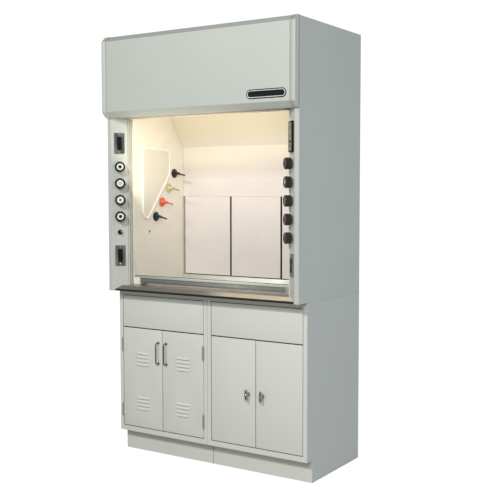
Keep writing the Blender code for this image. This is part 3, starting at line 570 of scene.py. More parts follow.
FINISH = {}
for n in NODES:
    if n.startswith("baffle"):
        FINISH[n] = baffle_board
    elif n in ("liner_side_left", "liner_side_right", "liner_ceiling"):
        FINISH[n] = liner_board
    elif n == "access_cover":
        FINISH[n] = cover_board
    elif n.startswith("cabinet"):
        FINISH[n] = cabinet_paint
    elif n in ("door_1", "door_2", "door_3", "door_4") or n.startswith("apron"):
        FINISH[n] = door_paint
    elif n.endswith("_pull"):
        FINISH[n] = pull_steel
    elif n.endswith("_handle"):
        FINISH[n] = chrome
    elif n.startswith("side_panel") or n in ("rear_panel", "roof_panel"):
        FINISH[n] = panel_paint
    elif n.startswith("fascia"):
        FINISH[n] = fascia_paint
    elif n.startswith("corner_post"):
        FINISH[n] = front_paint
    elif n.startswith("sash_track"):
        FINISH[n] = track_vinyl
    elif n.endswith("_rail"):
        FINISH[n] = rail_paint
    elif n == "sash_counterweight":
        FINISH[n] = iron
    elif n == "sash_drive_shaft":
        FINISH[n] = zinc
    elif n == "exhaust_collar":
        FINISH[n] = duct_steel
    elif n in ("work_surface", "airfoil_sill"):
        FINISH[n] = stainless
    elif n == "lamp_housing":
        FINISH[n] = enamel
    else:
        FINISH[n] = black_satin

sash_glass = glass("sash_glass")
FINISH["sash_lower_glass"] = FINISH["sash_upper_glass"] = sash_glass

lens = Mat("lamp_lens_lit", (1.0, 0.95, 0.82), 0.35)
lens.b.inputs["Emission Color"].default_value = (1.0, 0.86, 0.64, 1)
lens.b.inputs["Emission Strength"].default_value = 2.0
prism_bump = lens.noise(160.0, 0.0)
lens.bump(prism_bump, 0.3, 0.001)
FINISH["lamp_lens"] = lens.mat

# worktop: brushed steel; its sloping nose duller, with a painted reflection running from dark at the left to gold at
# the right; its front edge and the low lip of the nose painted near black as shade
wt = Mat("worktop_steel", (0.47, 0.455, 0.42), 0.32, 1.0)
scratch = wt.noise(3.0, 3.0, stretch=(2.0, 220.0, 220.0), rough=0.6)
stains = wt.ramp(wt.noise(5.0, 5.0, rough=0.6), 0.35, 0.75)
top_tone = wt.mix(wt.ramp(scratch, 0.3, 0.7), (0.50, 0.49, 0.455), (0.60, 0.585, 0.545))
# painted reflection along the nose: dark at the left, gold at the right
nose_painted_reflection = wt.mix(wt.ramp(wt.axis(0), 0.02, 0.16), (0.165, 0.155, 0.140), (0.50, 0.455, 0.355))
on_nose = wt.ramp(wt.facing_axis(1), -0.20, -0.40)
front_edge_shade_mask = wt.ramp(wt.facing_axis(1), -0.85, -0.95)
tone = wt.mix(on_nose, top_tone, nose_painted_reflection)
tone = wt.mix(wt.math("MULTIPLY", stains, 0.18), tone, (0.33, 0.31, 0.27))
# painted shade: the front edge and the low lip of the nose go near black
tone = wt.mix(front_edge_shade_mask, tone, (0.014, 0.013, 0.010))
low_lip_shade_mask = wt.math("MULTIPLY", wt.ramp(wt.axis(2), 0.9372, 0.9360), on_nose)
tone = wt.mix(low_lip_shade_mask, tone, (0.020, 0.018, 0.014))
wt.colour(tone)
wt.rough(wt.ramp(scratch, 0.3, 0.7, 0.28, 0.42))
wt.nt.links.new(wt.ramp(on_nose, 0.0, 1.0, 1.0, 0.25), wt.b.inputs["Metallic"])
wt.bump(scratch, 0.10, 0.0002)
FINISH["work_surface"] = wt.mat

rear = powder_coat("rear_powder_coat", (0.535, 0.585, 0.580), 0.45)
# painted shade: the rear panel's face towards the chamber goes near black
for m in (rear,):
    nt_, b_ = m.node_tree, m.node_tree.nodes["Principled BSDF"]
    was = b_.inputs["Base Color"].links[0].from_socket
    g_ = nt_.nodes.new("ShaderNodeNewGeometry")
    sep = nt_.nodes.new("ShaderNodeSeparateXYZ")
    nt_.links.new(g_.outputs["Normal"], sep.inputs[0])
    inner_face_shade = nt_.nodes.new("ShaderNodeMapRange")
    inner_face_shade.inputs["From Min"].default_value, inner_face_shade.inputs["From Max"].default_value = -0.4, -0.6
    nt_.links.new(sep.outputs[1], inner_face_shade.inputs["Value"])
    mx = nt_.nodes.new("ShaderNodeMix")
    mx.data_type = "RGBA"
    cols = [k for k in mx.inputs if k.type == "RGBA"]
    nt_.links.new(inner_face_shade.outputs["Result"], [k for k in mx.inputs if k.name == "Factor" and k.enabled][0])
    nt_.links.new(was, cols[0])
    cols[1].default_value = (0.020, 0.018, 0.015, 1)
    nt_.links.new([k for k in mx.outputs if k.type == "RGBA"][0], b_.inputs["Base Color"])
FINISH["rear_panel"] = rear

for n, ob in NODES.items():
    ob.data.materials.clear()
    ob.data.materials.append(FINISH[n])

for n, w in {
    "side_panel_left": 0.0009, "side_panel_right": 0.0009, "rear_panel": 0.0009, "roof_panel": 0.0009,
    "corner_post_left": 0.0009, "corner_post_right": 0.0009,
    "cabinet_left": 0.0007, "cabinet_right": 0.0007,
    "liner_side_left": 0.0015, "liner_side_right": 0.0015, "liner_ceiling": 0.001,
    "baffle_lower_left": 0.0012, "baffle_lower_middle": 0.0012, "baffle_lower_right": 0.0012, "baffle_upper": 0.001,
    "work_surface": 0.0012, "sash_lower_rail": 0.001, "sash_upper_rail": 0.001,
    "lamp_housing": 0.0008, "sash_track_left": 0.0005, "sash_track_right": 0.0005,
    "sash_lower_glass": 0.001, "sash_upper_glass": 0.001,
}.items():
    soften(n, w)

# ------------------------------------------------------------------ fascia: rolled folds, end strips, blank nameplate
FASCIA_HALF = HALF - STRIP - 0.0006
fascia_path = [
    (-0.2960, FASCIA_LOW), (Y_FASCIA + CHAMFER, FASCIA_LOW), (Y_FASCIA, FASCIA_LOW + CHAMFER),
    (Y_FASCIA, Z_TOP - CHAMFER + 0.002), (Y_FASCIA + CHAMFER, Z_TOP), (-0.2960, Z_TOP),
]
sheet_metal("fascia_front_sheet", fascia_path[::-1], "YZ", -FASCIA_HALF, FASCIA_HALF, 0.0018, fascia_paint, "hood", "fascia_panel", radius=[0, 0.006, 0.006, 0.006, 0.006, 0])

for side, s in (("left", -1), ("right", 1)):
    section = [
        (Y_POST - 0.0006, Z_TOP), (Y_FASCIA + CHAMFER, Z_TOP), (Y_FASCIA, Z_TOP - CHAMFER + 0.002),
        (Y_FASCIA, FASCIA_LOW + CHAMFER), (Y_FASCIA + CHAMFER, FASCIA_LOW), (Y_POST - 0.0006, FASCIA_LOW),
    ]
    pts = round_path([(*p, 0) for p in section], [0, 0.006, 0.006, 0.006, 0.006, 0], closed=False)
    pts2 = [(p.x, p.y) for p in pts]
    bm = bmesh.new()
    x_out, x_in = s * HALF, s * (HALF - STRIP + 0.0004)
    put_prism(bm, pts2, "YZ", min(x_out, x_in), max(x_out, x_in))
    # leave it open towards the middle of the hood and at the back, as a folded cap
    for f in list(bm.faces):
        c = f.calc_center_median()
        if abs(c.x - x_in) < 1e-5 or (abs(c.y - (Y_POST - 0.0006)) < 1e-5):
            bm.faces.remove(f)
    edges = [e for e in bm.edges if all(abs(v.co.x - x_out) < 1e-6 for v in e.verts) and len(e.link_faces) == 2]
    bmesh.ops.bevel(bm, geom=edges, offset=0.0022, segments=3, affect="EDGES", profile=0.5)
    cap = finish_mesh(f"fascia_end_cap_{side}", bm, fascia_paint, "hood", smooth=40, replaces=f"fascia_end_{side}")
    mod = cap.modifiers.new("sheet", "SOLIDIFY")
    mod.thickness = 0.0015
    for way in (-1.0, 1.0):
        mod.offset = way
        got = cap.evaluated_get(bpy.context.evaluated_depsgraph_get()).to_mesh()
        if max(abs(v.co.x) for v in got.vertices) < HALF + 0.0002:
            break

# the nameplate: a plain pill with a bright rim and nothing on it
plate_x0, plate_x1, plate_z0, plate_z1 = 0.3330, 0.5625, 1.9285, 1.9750


def pill(x0, x1, z0, z1, inset=0.0, steps=10):
    r = (z1 - z0) / 2 - inset
    cz = (z0 + z1) / 2
    left, right = x0 + inset + r, x1 - inset - r
    out = []
    for k in range(steps + 1):
        a = -math.pi / 2 + math.pi * k / steps
        out.append((right + r * math.cos(a), cz + r * math.sin(a)))
    for k in range(steps + 1):
        a = math.pi / 2 + math.pi * k / steps
        out.append((left + r * math.cos(a), cz + r * math.sin(a)))
    return out


# the CAD box ends at the fascia's front plane, so the plate is let into it by its own thickness and only the bead stands in front of the paint
bm = bmesh.new()
outer = pill(plate_x0, plate_x1, plate_z0, plate_z1)
put_prism(bm, outer, "XZ", Y_FASCIA - 0.0016, Y_FASCIA + 0.0006, 0)
finish_mesh("nameplate_blank", bm, [black_gloss], "hood", bevel=0.0006)
bm = bmesh.new()
path = [Vector((x, Y_FASCIA - 0.0018, z)) for x, z in pill(plate_x0, plate_x1, plate_z0, plate_z1, 0.0070, 14)]
put_tube(bm, path, 0.0019, 8, closed=True, up=(0, 1, 0))
finish_mesh("nameplate_rim", bm, [rim_bright], "hood")

# ------------------------------------------------------------------ knobs
for side, count, radius in (("left", 4, 0.0290), ("right", 5, 0.0290)):
    point, out = post(side)
    length = 0.0400
    grip = knob_side if side == "left" else knob_dark
    dots = [((0.008, 0.008, 0.008), 0.0090), ((0.60, 0.61, 0.59), 0.0090), ((0.16, 0.12, 0.10), 0.0066), ((0.008, 0.008, 0.008), 0.0090), ((0.03, 0.05, 0.14), 0.0070)]
    for i in range(count):
        dot_rgb, dot_r = dots[i]
        dot = cast(f"index_dot_{side}_{i + 1}", dot_rgb, 0.35)
        plate = white_face if side == "left" else knob_dark
        body = f"knob_{side}_{i + 1}"
        m = facing(point, out, KNOB_Z[i])
        bm = bmesh.new()
        L, R = length, radius
        face_r = R * 0.665
        profile = [
            (face_r, L - 0.0016), (face_r, L - 0.0002), (face_r + 0.0008, L), (R - 0.0040, L - 0.0002), (R - 0.0020, L - 0.0012), (R - 0.0007, L - 0.0030),
            (R, L - 0.0062), (R + 0.0000, L - 0.0110), (R - 0.0001, 0.016), (R - 0.0003, 0.0110), (R - 0.0010, 0.0080), (R - 0.0028, 0.0062),
            (0.0150, 0.0056), (0.0135, 0.0052), (0.0130, 0.0010), (0.0122, 0.0006), (0.0, 0.0006),
        ]
        put_lathe(bm, profile, 96, 0, lobes=12 if side == "left" else 16, lobe_depth=0.0024 if side == "left" else 0.0026, lobe_from=0.0070, lobe_to=L - 0.0028)
        finish_mesh(f"valve_knob_{side}_{i + 1}_grip", bm, [grip], body, smooth=50, replaces=f"valve_knob_{side}_{i + 1}", matrix=m)
        bm = bmesh.new()
        put_lathe(bm, [(0, L - 0.0006), (dot_r - 0.0006, L - 0.0006), (dot_r, L - 0.0012), (dot_r, L - 0.0020, 1), (face_r - 0.0004, L - 0.0022, 1), (face_r - 0.0001, L - 0.0030, 1), (0, L - 0.0030)], 64, 0)
        finish_mesh(f"valve_knob_{side}_{i + 1}_index", bm, [dot, plate], body, smooth=35, matrix=m)
        # the packing nut that the spindle comes out of
        bm = bmesh.new()
        put_lathe(bm, [(0.0140, 0.0048), (0.0178, 0.0048), (0.0185, 0.0040), (0.0185, 0.0002), (0.0140, 0.0002), (0.0140, 0.0048)], 6, 0)
        finish_mesh(f"valve_nut_{side}_{i + 1}", bm, [zinc], "hood", smooth=30, matrix=m)

# ------------------------------------------------------------------ rotary light switch
point, out = post("left")
m = facing(point, out, SWITCH_Z)
bm = bmesh.new()
put_lathe(bm, [(0, 0.0150), (0.0078, 0.0150), (0.0092, 0.0142), (0.0102, 0.0120), (0.0110, 0.0070), (0.0110, 0.0056), (0.0, 0.0056)], 64, 0, lobes=8, lobe_depth=0.0010, lobe_from=0.0060, lobe_to=0.0146)
lever = put_box(bm, (-0.0030, -0.0105, 0.0136), (0.0030, 0.0140, 0.0200), 0, 0.0012, 2)
bmesh.ops.rotate(bm, verts=lever, cent=(0, 0, 0), matrix=Matrix.Rotation(0.32, 3, "Z"))
finish_mesh("light_switch_knob", bm, [black_gloss], "light_switch", smooth=40, replaces="light_switch", matrix=m)
# a white dot on the knob, sized and placed to give a painted highlight as well as an index mark
bm = bmesh.new()
put_lathe(bm, [(0, 0.0162), (0.0024, 0.0160), (0.0030, 0.0152), (0.0030, 0.0146), (0, 0.0146)], 24, 0, place=Matrix.Translation((0.0058, 0.0022, 0)))
finish_mesh("light_switch_dot_and_highlight", bm, [white_face], "light_switch", matrix=m, smooth=None)
bm = bmesh.new()
put_lathe(bm, [(0.0114, 0.0048), (0.0128, 0.0048), (0.0135, 0.0040), (0.0135, 0.0003), (0.0114, 0.0003), (0.0114, 0.0048)], 48, 0)
finish_mesh("light_switch_collar", bm, [black_satin], "hood", smooth=40, matrix=m)


# ------------------------------------------------------------------ power outlets
def screw_head(bm, x, y, z, r=0.0034, mat=0, slot_mat=1, turn=0.4):
    put_lathe(bm, [(0, z + 0.0012), (r * 0.75, z + 0.0010), (r, z + 0.0003), (r, z - 0.0004), (0, z - 0.0004)], 24, mat, place=Matrix.Translation((x, y, 0)))
    rot = Matrix.Translation((x, y, z + 0.0011)) @ Matrix.Rotation(turn, 4, "Z")
    # the screw slot is a thin black bar: painted shade
    verts = put_box(bm, (-r * 0.78, -0.00035, -0.0003), (r * 0.78, 0.00035, 0.0003), slot_mat)
    bmesh.ops.transform(bm, matrix=rot, verts=verts)


def rounded_rect(w, h, r, steps=5, cx=0.0, cy=0.0):
    pts = round_path([(cx - w / 2, cy - h / 2, 0), (cx + w / 2, cy - h / 2, 0), (cx + w / 2, cy + h / 2, 0), (cx - w / 2, cy + h / 2, 0)], r, steps, closed=True)
    return [(p.x, p.y) for p in pts]


def outlet(name, side, z, node):
    point, out = post(side)
    m = facing(point, out, z)
    bm = bmesh.new()
    # plate with a window for the receptacle: outer and inner loops bridged
    W, H, w, h = 0.056, 0.114, 0.0266, 0.0712

    def ring(a, b, r, height):
        return [bm.verts.new((x, y, height)) for x, y in rounded_rect(a, b, r, 6)]

    loops = [ring(W, H, 0.004, 0.0006), ring(W, H, 0.004, 0.0038), ring(W - 0.0022, H - 0.0022, 0.0036, 0.0052), ring(w, h, 0.003, 0.0058), ring(w, h, 0.003, 0.0030)]
    for a, b in zip(loops, loops[1:]):
        k = len(a)
        for i in range(k):
            bm.faces.new((a[i], a[(i + 1) % k], b[(i + 1) % k], b[i]))
    bm.faces.new(loops[0])
    finish_mesh(f"{name}_plate", bm, [stainless_v], "hood", smooth=25, replaces=node, matrix=m)
    bm = bmesh.new()
    put_prism(bm, rounded_rect(0.0254, 0.0700, 0.0025), "XY", 0.0031, 0.0072, 0)
    for cy in (0.0185, -0.0185):
        # receptacle island with its slots
        base = put_prism(bm, rounded_rect(0.0234, 0.0250, 0.007, 6, 0, cy), "XY", 0.0072, 0.0084, 0)
        # the slots and the ground hole are thin black pieces: painted shade
        put_box(bm, (-0.0071, cy - 0.0005, 0.0079), (-0.0053, cy + 0.0085, 0.00850), 1)
        put_box(bm, (0.0053, cy + 0.0005, 0.0079), (0.0071, cy + 0.0075, 0.00850), 1)
        put_lathe(bm, [(0, 0.0085), (0.0026, 0.0085), (0.0026, 0.0079), (0, 0.0079)], 20, 1, place=Matrix.Translation((0, cy - 0.0068, 0)))
    put_box(bm, (-0.0060, -0.0022, 0.0072), (0.0060, 0.0022, 0.0082), 0, 0.0004, 1)
    finish_mesh(f"{name}_receptacle", bm, [black_satin, slot_shade], "hood", smooth=30, matrix=m)
    bm = bmesh.new()
    for cy in (0.0484, -0.0484):
        screw_head(bm, 0, cy, 0.0054, r=0.0042)
    finish_mesh(f"{name}_screws", bm, [bright, slot_shade], "hood", smooth=35, matrix=m)


outlet("outlet_left_upper", "left", 1.7427, "power_outlet_left_upper")
outlet("outlet_left_lower", "left", 1.1210, "power_outlet_left_lower")
outlet("outlet_right_lower", "right", 1.1130, "power_outlet_right_lower")

# ------------------------------------------------------------------ airflow monitor
point, out = post("right")
m = facing(point, out, 1.7436)
bm = bmesh.new()


def case_ring(w, h, r, z):
    return [bm.verts.new((x, y, z)) for x, y in rounded_rect(w, h, r, 5)]


loops = [
    case_ring(0.0600, 0.1490, 0.003, 0.0006), case_ring(0.0618, 0.1508, 0.004, 0.0018), case_ring(0.0618, 0.1508, 0.004, 0.0095),
    case_ring(0.0594, 0.1484, 0.004, 0.0120), case_ring(0.0530, 0.1420, 0.003, 0.0123), case_ring(0.0520, 0.1410, 0.003, 0.0100),
]
for a, b in zip(loops, loops[1:]):
    k = len(a)
    for i in range(k):
        bm.faces.new((a[i], a[(i + 1) % k], b[(i + 1) % k], b[i]))
bm.faces.new(loops[0])
bm.faces.new(list(reversed(loops[-1])))
finish_mesh("airflow_monitor_case", bm, [black_satin], "hood", smooth=30, replaces="airflow_monitor", matrix=m)
grey_panel = cast("monitor_panel", (0.36, 0.35, 0.27), 0.50, spec=0.25)
lcd = cast("monitor_display", (0.16, 0.17, 0.13), 0.30, spec=0.3)
bm = bmesh.new()
put_box(bm, (-0.0240, 0.0030, 0.0098), (0.0240, 0.0680, 0.0112), 0, 0.0008, 2)
put_box(bm, (-0.0240, -0.0680, 0.0098), (0.0240, 0.0010, 0.0110), 0, 0.0008, 2)
put_box(bm, (-0.0170, 0.0290, 0.0110), (0.0170, 0.0560, 0.0116), 1, 0.0004, 1)
finish_mesh("airflow_monitor_panel", bm, [grey_panel, lcd], "hood", smooth=30, matrix=m)
bm = bmesh.new()
for cy, mi in ((0.0190, 0), (0.0120, 1)):
    put_lathe(bm, [(0, 0.0122), (0.0016, 0.0120), (0.0022, 0.0108), (0, 0.0108)], 20, mi, place=Matrix.Translation((-0.012, cy, 0)))
led_g, led_r = Mat("led_green", (0.02, 0.32, 0.05), 0.2), Mat("led_red", (0.38, 0.03, 0.02), 0.2)
for led in (led_g, led_r):
    led.bump(led.noise(900.0), 0.05, 0.0001)
led_g.b.inputs["Emission Color"].default_value = (0.05, 0.9, 0.12, 1)
led_g.b.inputs["Emission Strength"].default_value = 0.6
put_box(bm, (-0.0160, -0.0300, 0.0106), (-0.0020, -0.0180, 0.0122), 2, 0.0012, 2)
put_box(bm, (0.0020, -0.0300, 0.0106), (0.0160, -0.0180, 0.0122), 2, 0.0012, 2)
put_box(bm, (-0.0070, -0.0520, 0.0106), (0.0070, -0.0400, 0.0122), 2, 0.0012, 2)
finish_mesh("airflow_monitor_buttons", bm, [led_g.mat, led_r.mat, black_satin], "hood", smooth=35, matrix=m)

# ------------------------------------------------------------------ gas outlets on the left liner
OUTLETS = {
    "gas_outlet_black": (0.4756, 1.5844, (0.018, 0.012, 0.008)),
    "gas_outlet_yellow": (0.4218, 1.4971, (0.56, 0.51, 0.27)),
    "gas_outlet_red": (0.3577, 1.4153, (0.72, 0.13, 0.07)),
    "gas_outlet_blue": (0.3001, 1.3331, (0.012, 0.020, 0.052)),
}
for name, (y, z, rgb) in OUTLETS.items():
    enam = cast(f"{name}_epoxy", rgb, 0.34, spec=0.35)
    dark = cast(f"{name}_barb", tuple(0.62 * c + 0.02 for c in rgb), 0.34)
    base = Vector((-INSIDE + 0.0004, Y_POST + y, z))
    m = facing(base, (1, 0, 0))
    bm = bmesh.new()
    put_lathe(
        bm,
        [(0, 0.0335), (0.0050, 0.0335), (0.0068, 0.0328), (0.0078, 0.0305), (0.0080, 0.0260), (0.0082, 0.0180), (0.0088, 0.0125), (0.0108, 0.0084), (0.0150, 0.0062), (0.0222, 0.0052), (0.0256, 0.0046), (0.0268, 0.0036), (0.0270, 0.0022), (0.0270, 0.0006), (0, 0.0006)],
        64, 0,
    )
    finish_mesh(f"{name}_flange", bm, [enam], "hood", smooth=42, replaces=name, matrix=m)
    # serrated hose barb, drooping a little
    tilt = math.radians(14)
    mb = facing(base + Vector((0.026, 0, 0)), (math.cos(tilt), 0, -math.sin(tilt)))
    bm = bmesh.new()
    prof = [(0, 0.0578), (0.0022, 0.0576), (0.0030, 0.0568)]
    at = 0.0568
    for k in range(5):
        prof += [(0.0049 + 0.00010 * k, at - 0.0072), (0.0037 + 0.00012 * k, at - 0.0076)]
        at -= 0.0076
    prof += [(0.0044, at - 0.002), (0.0062, at - 0.004), (0.0078, at - 0.0052), (0.0078, at - 0.0120), (0.0060, at - 0.0128), (0.0058, -0.006), (0, -0.006)]
    put_lathe(bm, prof, 36, 0)
    finish_mesh(f"{name}_hose_barb", bm, [dark], "hood", smooth=38, matrix=mb)

# ------------------------------------------------------------------ access cover: plate and its rounded white gasket
corners = [(0.1835, 1.7245), (0.4240, 1.7190), (0.4240, 1.5794), (0.2137, 1.3130), (0.1800, 1.3560)]
outline = round_path([(Y_POST + y, z, 0) for y, z in corners], [0.034, 0.030, 0.060, 0.020, 0.022], 8, closed=True)
mid_path = [Vector((-INSIDE + 0.0055, p.x, p.y)) for p in outline]
bm = bmesh.new()
put_tube(bm, mid_path, 0.0082, 14, closed=True, flat=0.66, up=(1, 0, 0))
finish_mesh("access_cover_gasket", bm, [trim_white], "hood", smooth=60)

# ------------------------------------------------------------------ liner front edge trim, end blocks of the sill
for side, s in (("left", -1), ("right", 1)):
    bm = bmesh.new()
    x0, x1 = sorted((s * (INSIDE + 0.0055), s * (INSIDE - 0.0022)))
    put_box(bm, (x0, Y_POST + 0.1008, Z_WORK + 0.0006), (x1, Y_POST + 0.1150, 2.0990), 0, 0.0012, 2)
    finish_mesh(f"liner_edge_trim_{side}", bm, [trim_white], "hood", smooth=30)
    bm = bmesh.new()
    x0, x1 = sorted((s * 0.5138, s * 0.4740))
    section = [(0.1010, 0.9562), (0.1010, 0.9930), (0.1040, 0.9960), (0.1180, 0.9960), (0.1560, 0.9900), (0.1740, 0.9800), (0.1760, 0.9562)]

    put_prism(bm, [(Y_POST + a, b) for a, b in section], "YZ", x0, x1)
    # the right end block takes the painted-shade grey; the left one is white
    finish_mesh(f"airfoil_end_block_{side}", bm, [block_white if side == "left" else sill_shade], "hood", smooth=30, bevel=0.0020)
bm = bmesh.new()
put_prism(bm, [(Y_POST + a, b) for a, b in ((0.1240, 1.0050), (0.1240, 1.0240), (0.1280, 1.0285), (0.1420, 1.0285), (0.1500, 1.0200), (0.1520, 0.9995))], "YZ", 0.4560, 0.4980)
finish_mesh("sash_stop_block", bm, [block_white], "hood", smooth=30, bevel=0.0015)

# airfoil: a rolled lip over a set-back flange, in place of the plain bar
sill = [(0.1140, 0.9645), (0.1140, 0.9905), (0.1120, 0.9925), (0.1045, 0.9930), (0.1040, 1.0025), (0.1080, 1.0052), (0.1240, 1.0046), (0.1600, 0.9966), (0.1768, 0.9826)]
bm = bmesh.new()
xa, xb = -INSIDE + 0.0016, INSIDE - 0.0016
pts = round_path([(Y_POST + p, q, 0) for p, q in sill], [0, 0.001, 0.001, 0.0015, 0.003, 0.003, 0.03, 0.02, 0], 4)
a = [bm.verts.new((xa, p.x, p.y)) for p in pts]
b = [bm.verts.new((xb, p.x, p.y)) for p in pts]
for i in range(len(pts) - 1):
    f = bm.faces.new((a[i], a[i + 1], b[i + 1], b[i]))
    # the flange below the lip takes the painted-shade grey
    f.material_index = 1 if max(pts[i].y, pts[i + 1].y) < 0.9925 else 0
air = finish_mesh("airfoil_rolled_sill", bm, [sill_lip, sill_shade], "hood", smooth=40, replaces="airfoil_sill")
mod = air.modifiers.new("sheet", "SOLIDIFY")
mod.thickness = 0.0020
mod.offset = 0.0
# a black strip along the top of the lip: a painted shadow line
bm = bmesh.new()
put_box(bm, (xa, Y_POST + 0.1085, 1.0058), (xb, Y_POST + 0.1125, 1.0082), 0, 0.0008, 2)
finish_mesh("airfoil_edge_shade_strip", bm, [black_shade_strip], "hood", smooth=30)

# upstand along the back of the worktop, under the baffles
bm = bmesh.new()
up = round_path([(0.2250, 0.9556, 0), (0.2400, 0.9556, 0), (0.2465, 0.9790, 0), (0.2500, 0.9790, 0), (0.2500, 0.9556, 0)], [0, 0.008, 0.0015, 0.001, 0], 5)
a = [bm.verts.new((-INSIDE + 0.0016, p.x, p.y)) for p in up]
b = [bm.verts.new((INSIDE - 0.0016, p.x, p.y)) for p in up]
for i in range(len(up) - 1):
    bm.faces.new((a[i], a[i + 1], b[i + 1], b[i]))
cove = finish_mesh("worktop_rear_upstand", bm, [pale_epoxy], "hood", smooth=40)
mod = cove.modifiers.new("sheet", "SOLIDIFY")
mod.thickness = 0.0010
mod.offset = 0.0

# blind plug low on the left liner
bm = bmesh.new()
put_lathe(bm, [(0, 0.0012), (0.0052, 0.0012), (0.0064, 0.0006), (0.0064, 0.0001), (0, 0.0001)], 28, 0, place=facing((-INSIDE, -0.0733, 1.2481), (1, 0, 0)))
finish_mesh("liner_blind_plug", bm, [black_satin], "hood", smooth=35)

# ------------------------------------------------------------------ cabinet doors, aprons and their furniture
STILE = 0.023


def folded_pan(name, x0, x1, z0, z1, body, node, cutters=(), fold=0.0022):
    """A pan with rolled edges: the front and its four returns, open at the back."""
    bm = bmesh.new()
    put_box(bm, (x0, Y_CABINET, z0), (x1, Y_CABINET + DOOR_T, z1))
    for f in list(bm.faces):
        if abs(f.calc_center_median().y - (Y_CABINET + DOOR_T)) < 1e-6:
            bm.faces.remove(f)
    edges = [e for e in bm.edges if len(e.link_faces) == 2]
    bmesh.ops.bevel(bm, geom=edges, offset=fold, segments=3, affect="EDGES", profile=0.5)
    ob = finish_mesh(name, bm, [door_paint], body, smooth=40, replaces=node)
    mod = ob.modifiers.new("sheet", "SOLIDIFY")
    mod.thickness = 0.0012
    mod.offset = -1.0
    for c in cutters:
        b = ob.modifiers.new("cut", "BOOLEAN")
        b.operation = "DIFFERENCE"
        b.solver = "EXACT"
        b.object = c
    return ob


def bake_modifiers(ob):
    dg = bpy.context.evaluated_depsgraph_get()
    me = bpy.data.meshes.new_from_object(ob.evaluated_get(dg))
    ob.modifiers.clear()
    ob.data = me
    me.set_sharp_from_angle(angle=math.radians(40))


LOUVRE_W, LOUVRE_H, LOUVRE_OUT, PITCH = 0.096, 0.0125, 0.0052, 0.021


def louvres(name, body, cx):
    """Pressed louvre hoods: each rises from the sheet at its top edge, stands out at its lower lip, and is gathered in at both ends."""
    bm = bmesh.new()
    nu, nv = 28, 8
    for zc in (0.5370, 0.2850):
        for k in range(4):
            z_top = zc + (k - 1.5) * PITCH + 0.0078
            grid = []
            for i in range(nu + 1):
                u = -1 + 2 * i / nu
                end = max(0.0, 1 - abs(u) ** 5) ** 0.6
                row = []
                for j in range(nv + 1):
                    t = j / nv
                    h = LOUVRE_OUT * end * (math.sin(t * math.pi / 2) ** 1.25)
                    droop = 0.0022 * (1 - end)
                    row.append(bm.verts.new((cx + u * LOUVRE_W / 2, Y_CABINET - 0.0001 - h, z_top - t * LOUVRE_H + droop * t)))
                grid.append(row)
            for i in range(nu):
                for j in range(nv):
                    bm.faces.new((grid[i][j], grid[i + 1][j], grid[i + 1][j + 1], grid[i][j + 1]))
    ob = finish_mesh(name, bm, [door_paint], body, smooth=60)
    mod = ob.modifiers.new("sheet", "SOLIDIFY")
    mod.thickness = 0.0009
    mod.offset = 0.0
    return ob


def hinge(name, body, x, y, zc, inward):
    """A five-knuckle butt hinge: the door's knuckles and leaf ride with the door, the others stay."""
    r, span = 0.0050, 0.074
    for who, ride_on, odd in (("leaf", body, 0), ("fixed", "hood", 1)):
        bm = bmesh.new()
        for k in range(5):
            if k % 2 != odd:
                continue
            z0 = zc - span / 2 + k * span / 5 + 0.0003
            z1 = z0 + span / 5 - 0.0006
            put_lathe(bm, [(0, z1), (r - 0.0006, z1), (r, z1 - 0.0006), (r, z0 + 0.0006), (r - 0.0006, z0), (0, z0)], 28, 0, place=Matrix.Translation((x, y, 0)))
        if odd == 0:
            lo, hi = sorted((x + inward * 0.0010, x + inward * 0.0200))
            put_box(bm, (lo, Y_CABINET - 0.0022, zc - span / 2 + 0.001), (hi, Y_CABINET - 0.0002, zc + span / 2 - 0.001), 1, 0.0005, 1)
            for dz in (-0.024, 0.0, 0.024):
                rot = facing((x + inward * 0.0125, Y_CABINET - 0.0022, zc + dz), (0, -1, 0))
                put_lathe(bm, [(0, 0.0010), (0.0022, 0.0008), (0.0028, 0.0001), (0, 0.0001)], 18, 1, place=rot)
            put_lathe(bm, [(0, zc + span / 2 + 0.0022), (0.0026, zc + span / 2 + 0.0018), (0.0034, zc + span / 2 + 0.0004), (0, zc + span / 2 + 0.0004)], 20, 0, place=Matrix.Translation((x, y, 0)))
        finish_mesh(f"{name}_{who}", bm, [knuckle_steel, door_paint], ride_on, smooth=40)


def bar_pull(name, body, px, node):
    bar_y, z_lo, z_hi, bend = Y_CABINET - 0.024, 0.5240, 0.6400, 0.012
    pts = round_path([(px, Y_CABINET - 0.0004, z_lo), (px, bar_y, z_lo), (px, bar_y, z_hi), (px, Y_CABINET - 0.0004, z_hi)], bend, 10)
    bm = bmesh.new()
    put_tube(bm, pts, 0.0039, 18, up=(1, 0, 0))
    for z in (z_lo, z_hi):
        put_lathe(bm, [(0.0046, 0.0030), (0.0068, 0.0024), (0.0078, 0.0010), (0.0078, 0.0003), (0.0, 0.0003)], 28, 0, place=facing((px, Y_CABINET, z), (0, -1, 0)))
    finish_mesh(name, bm, [pull_steel], body, smooth=40, replaces=node)


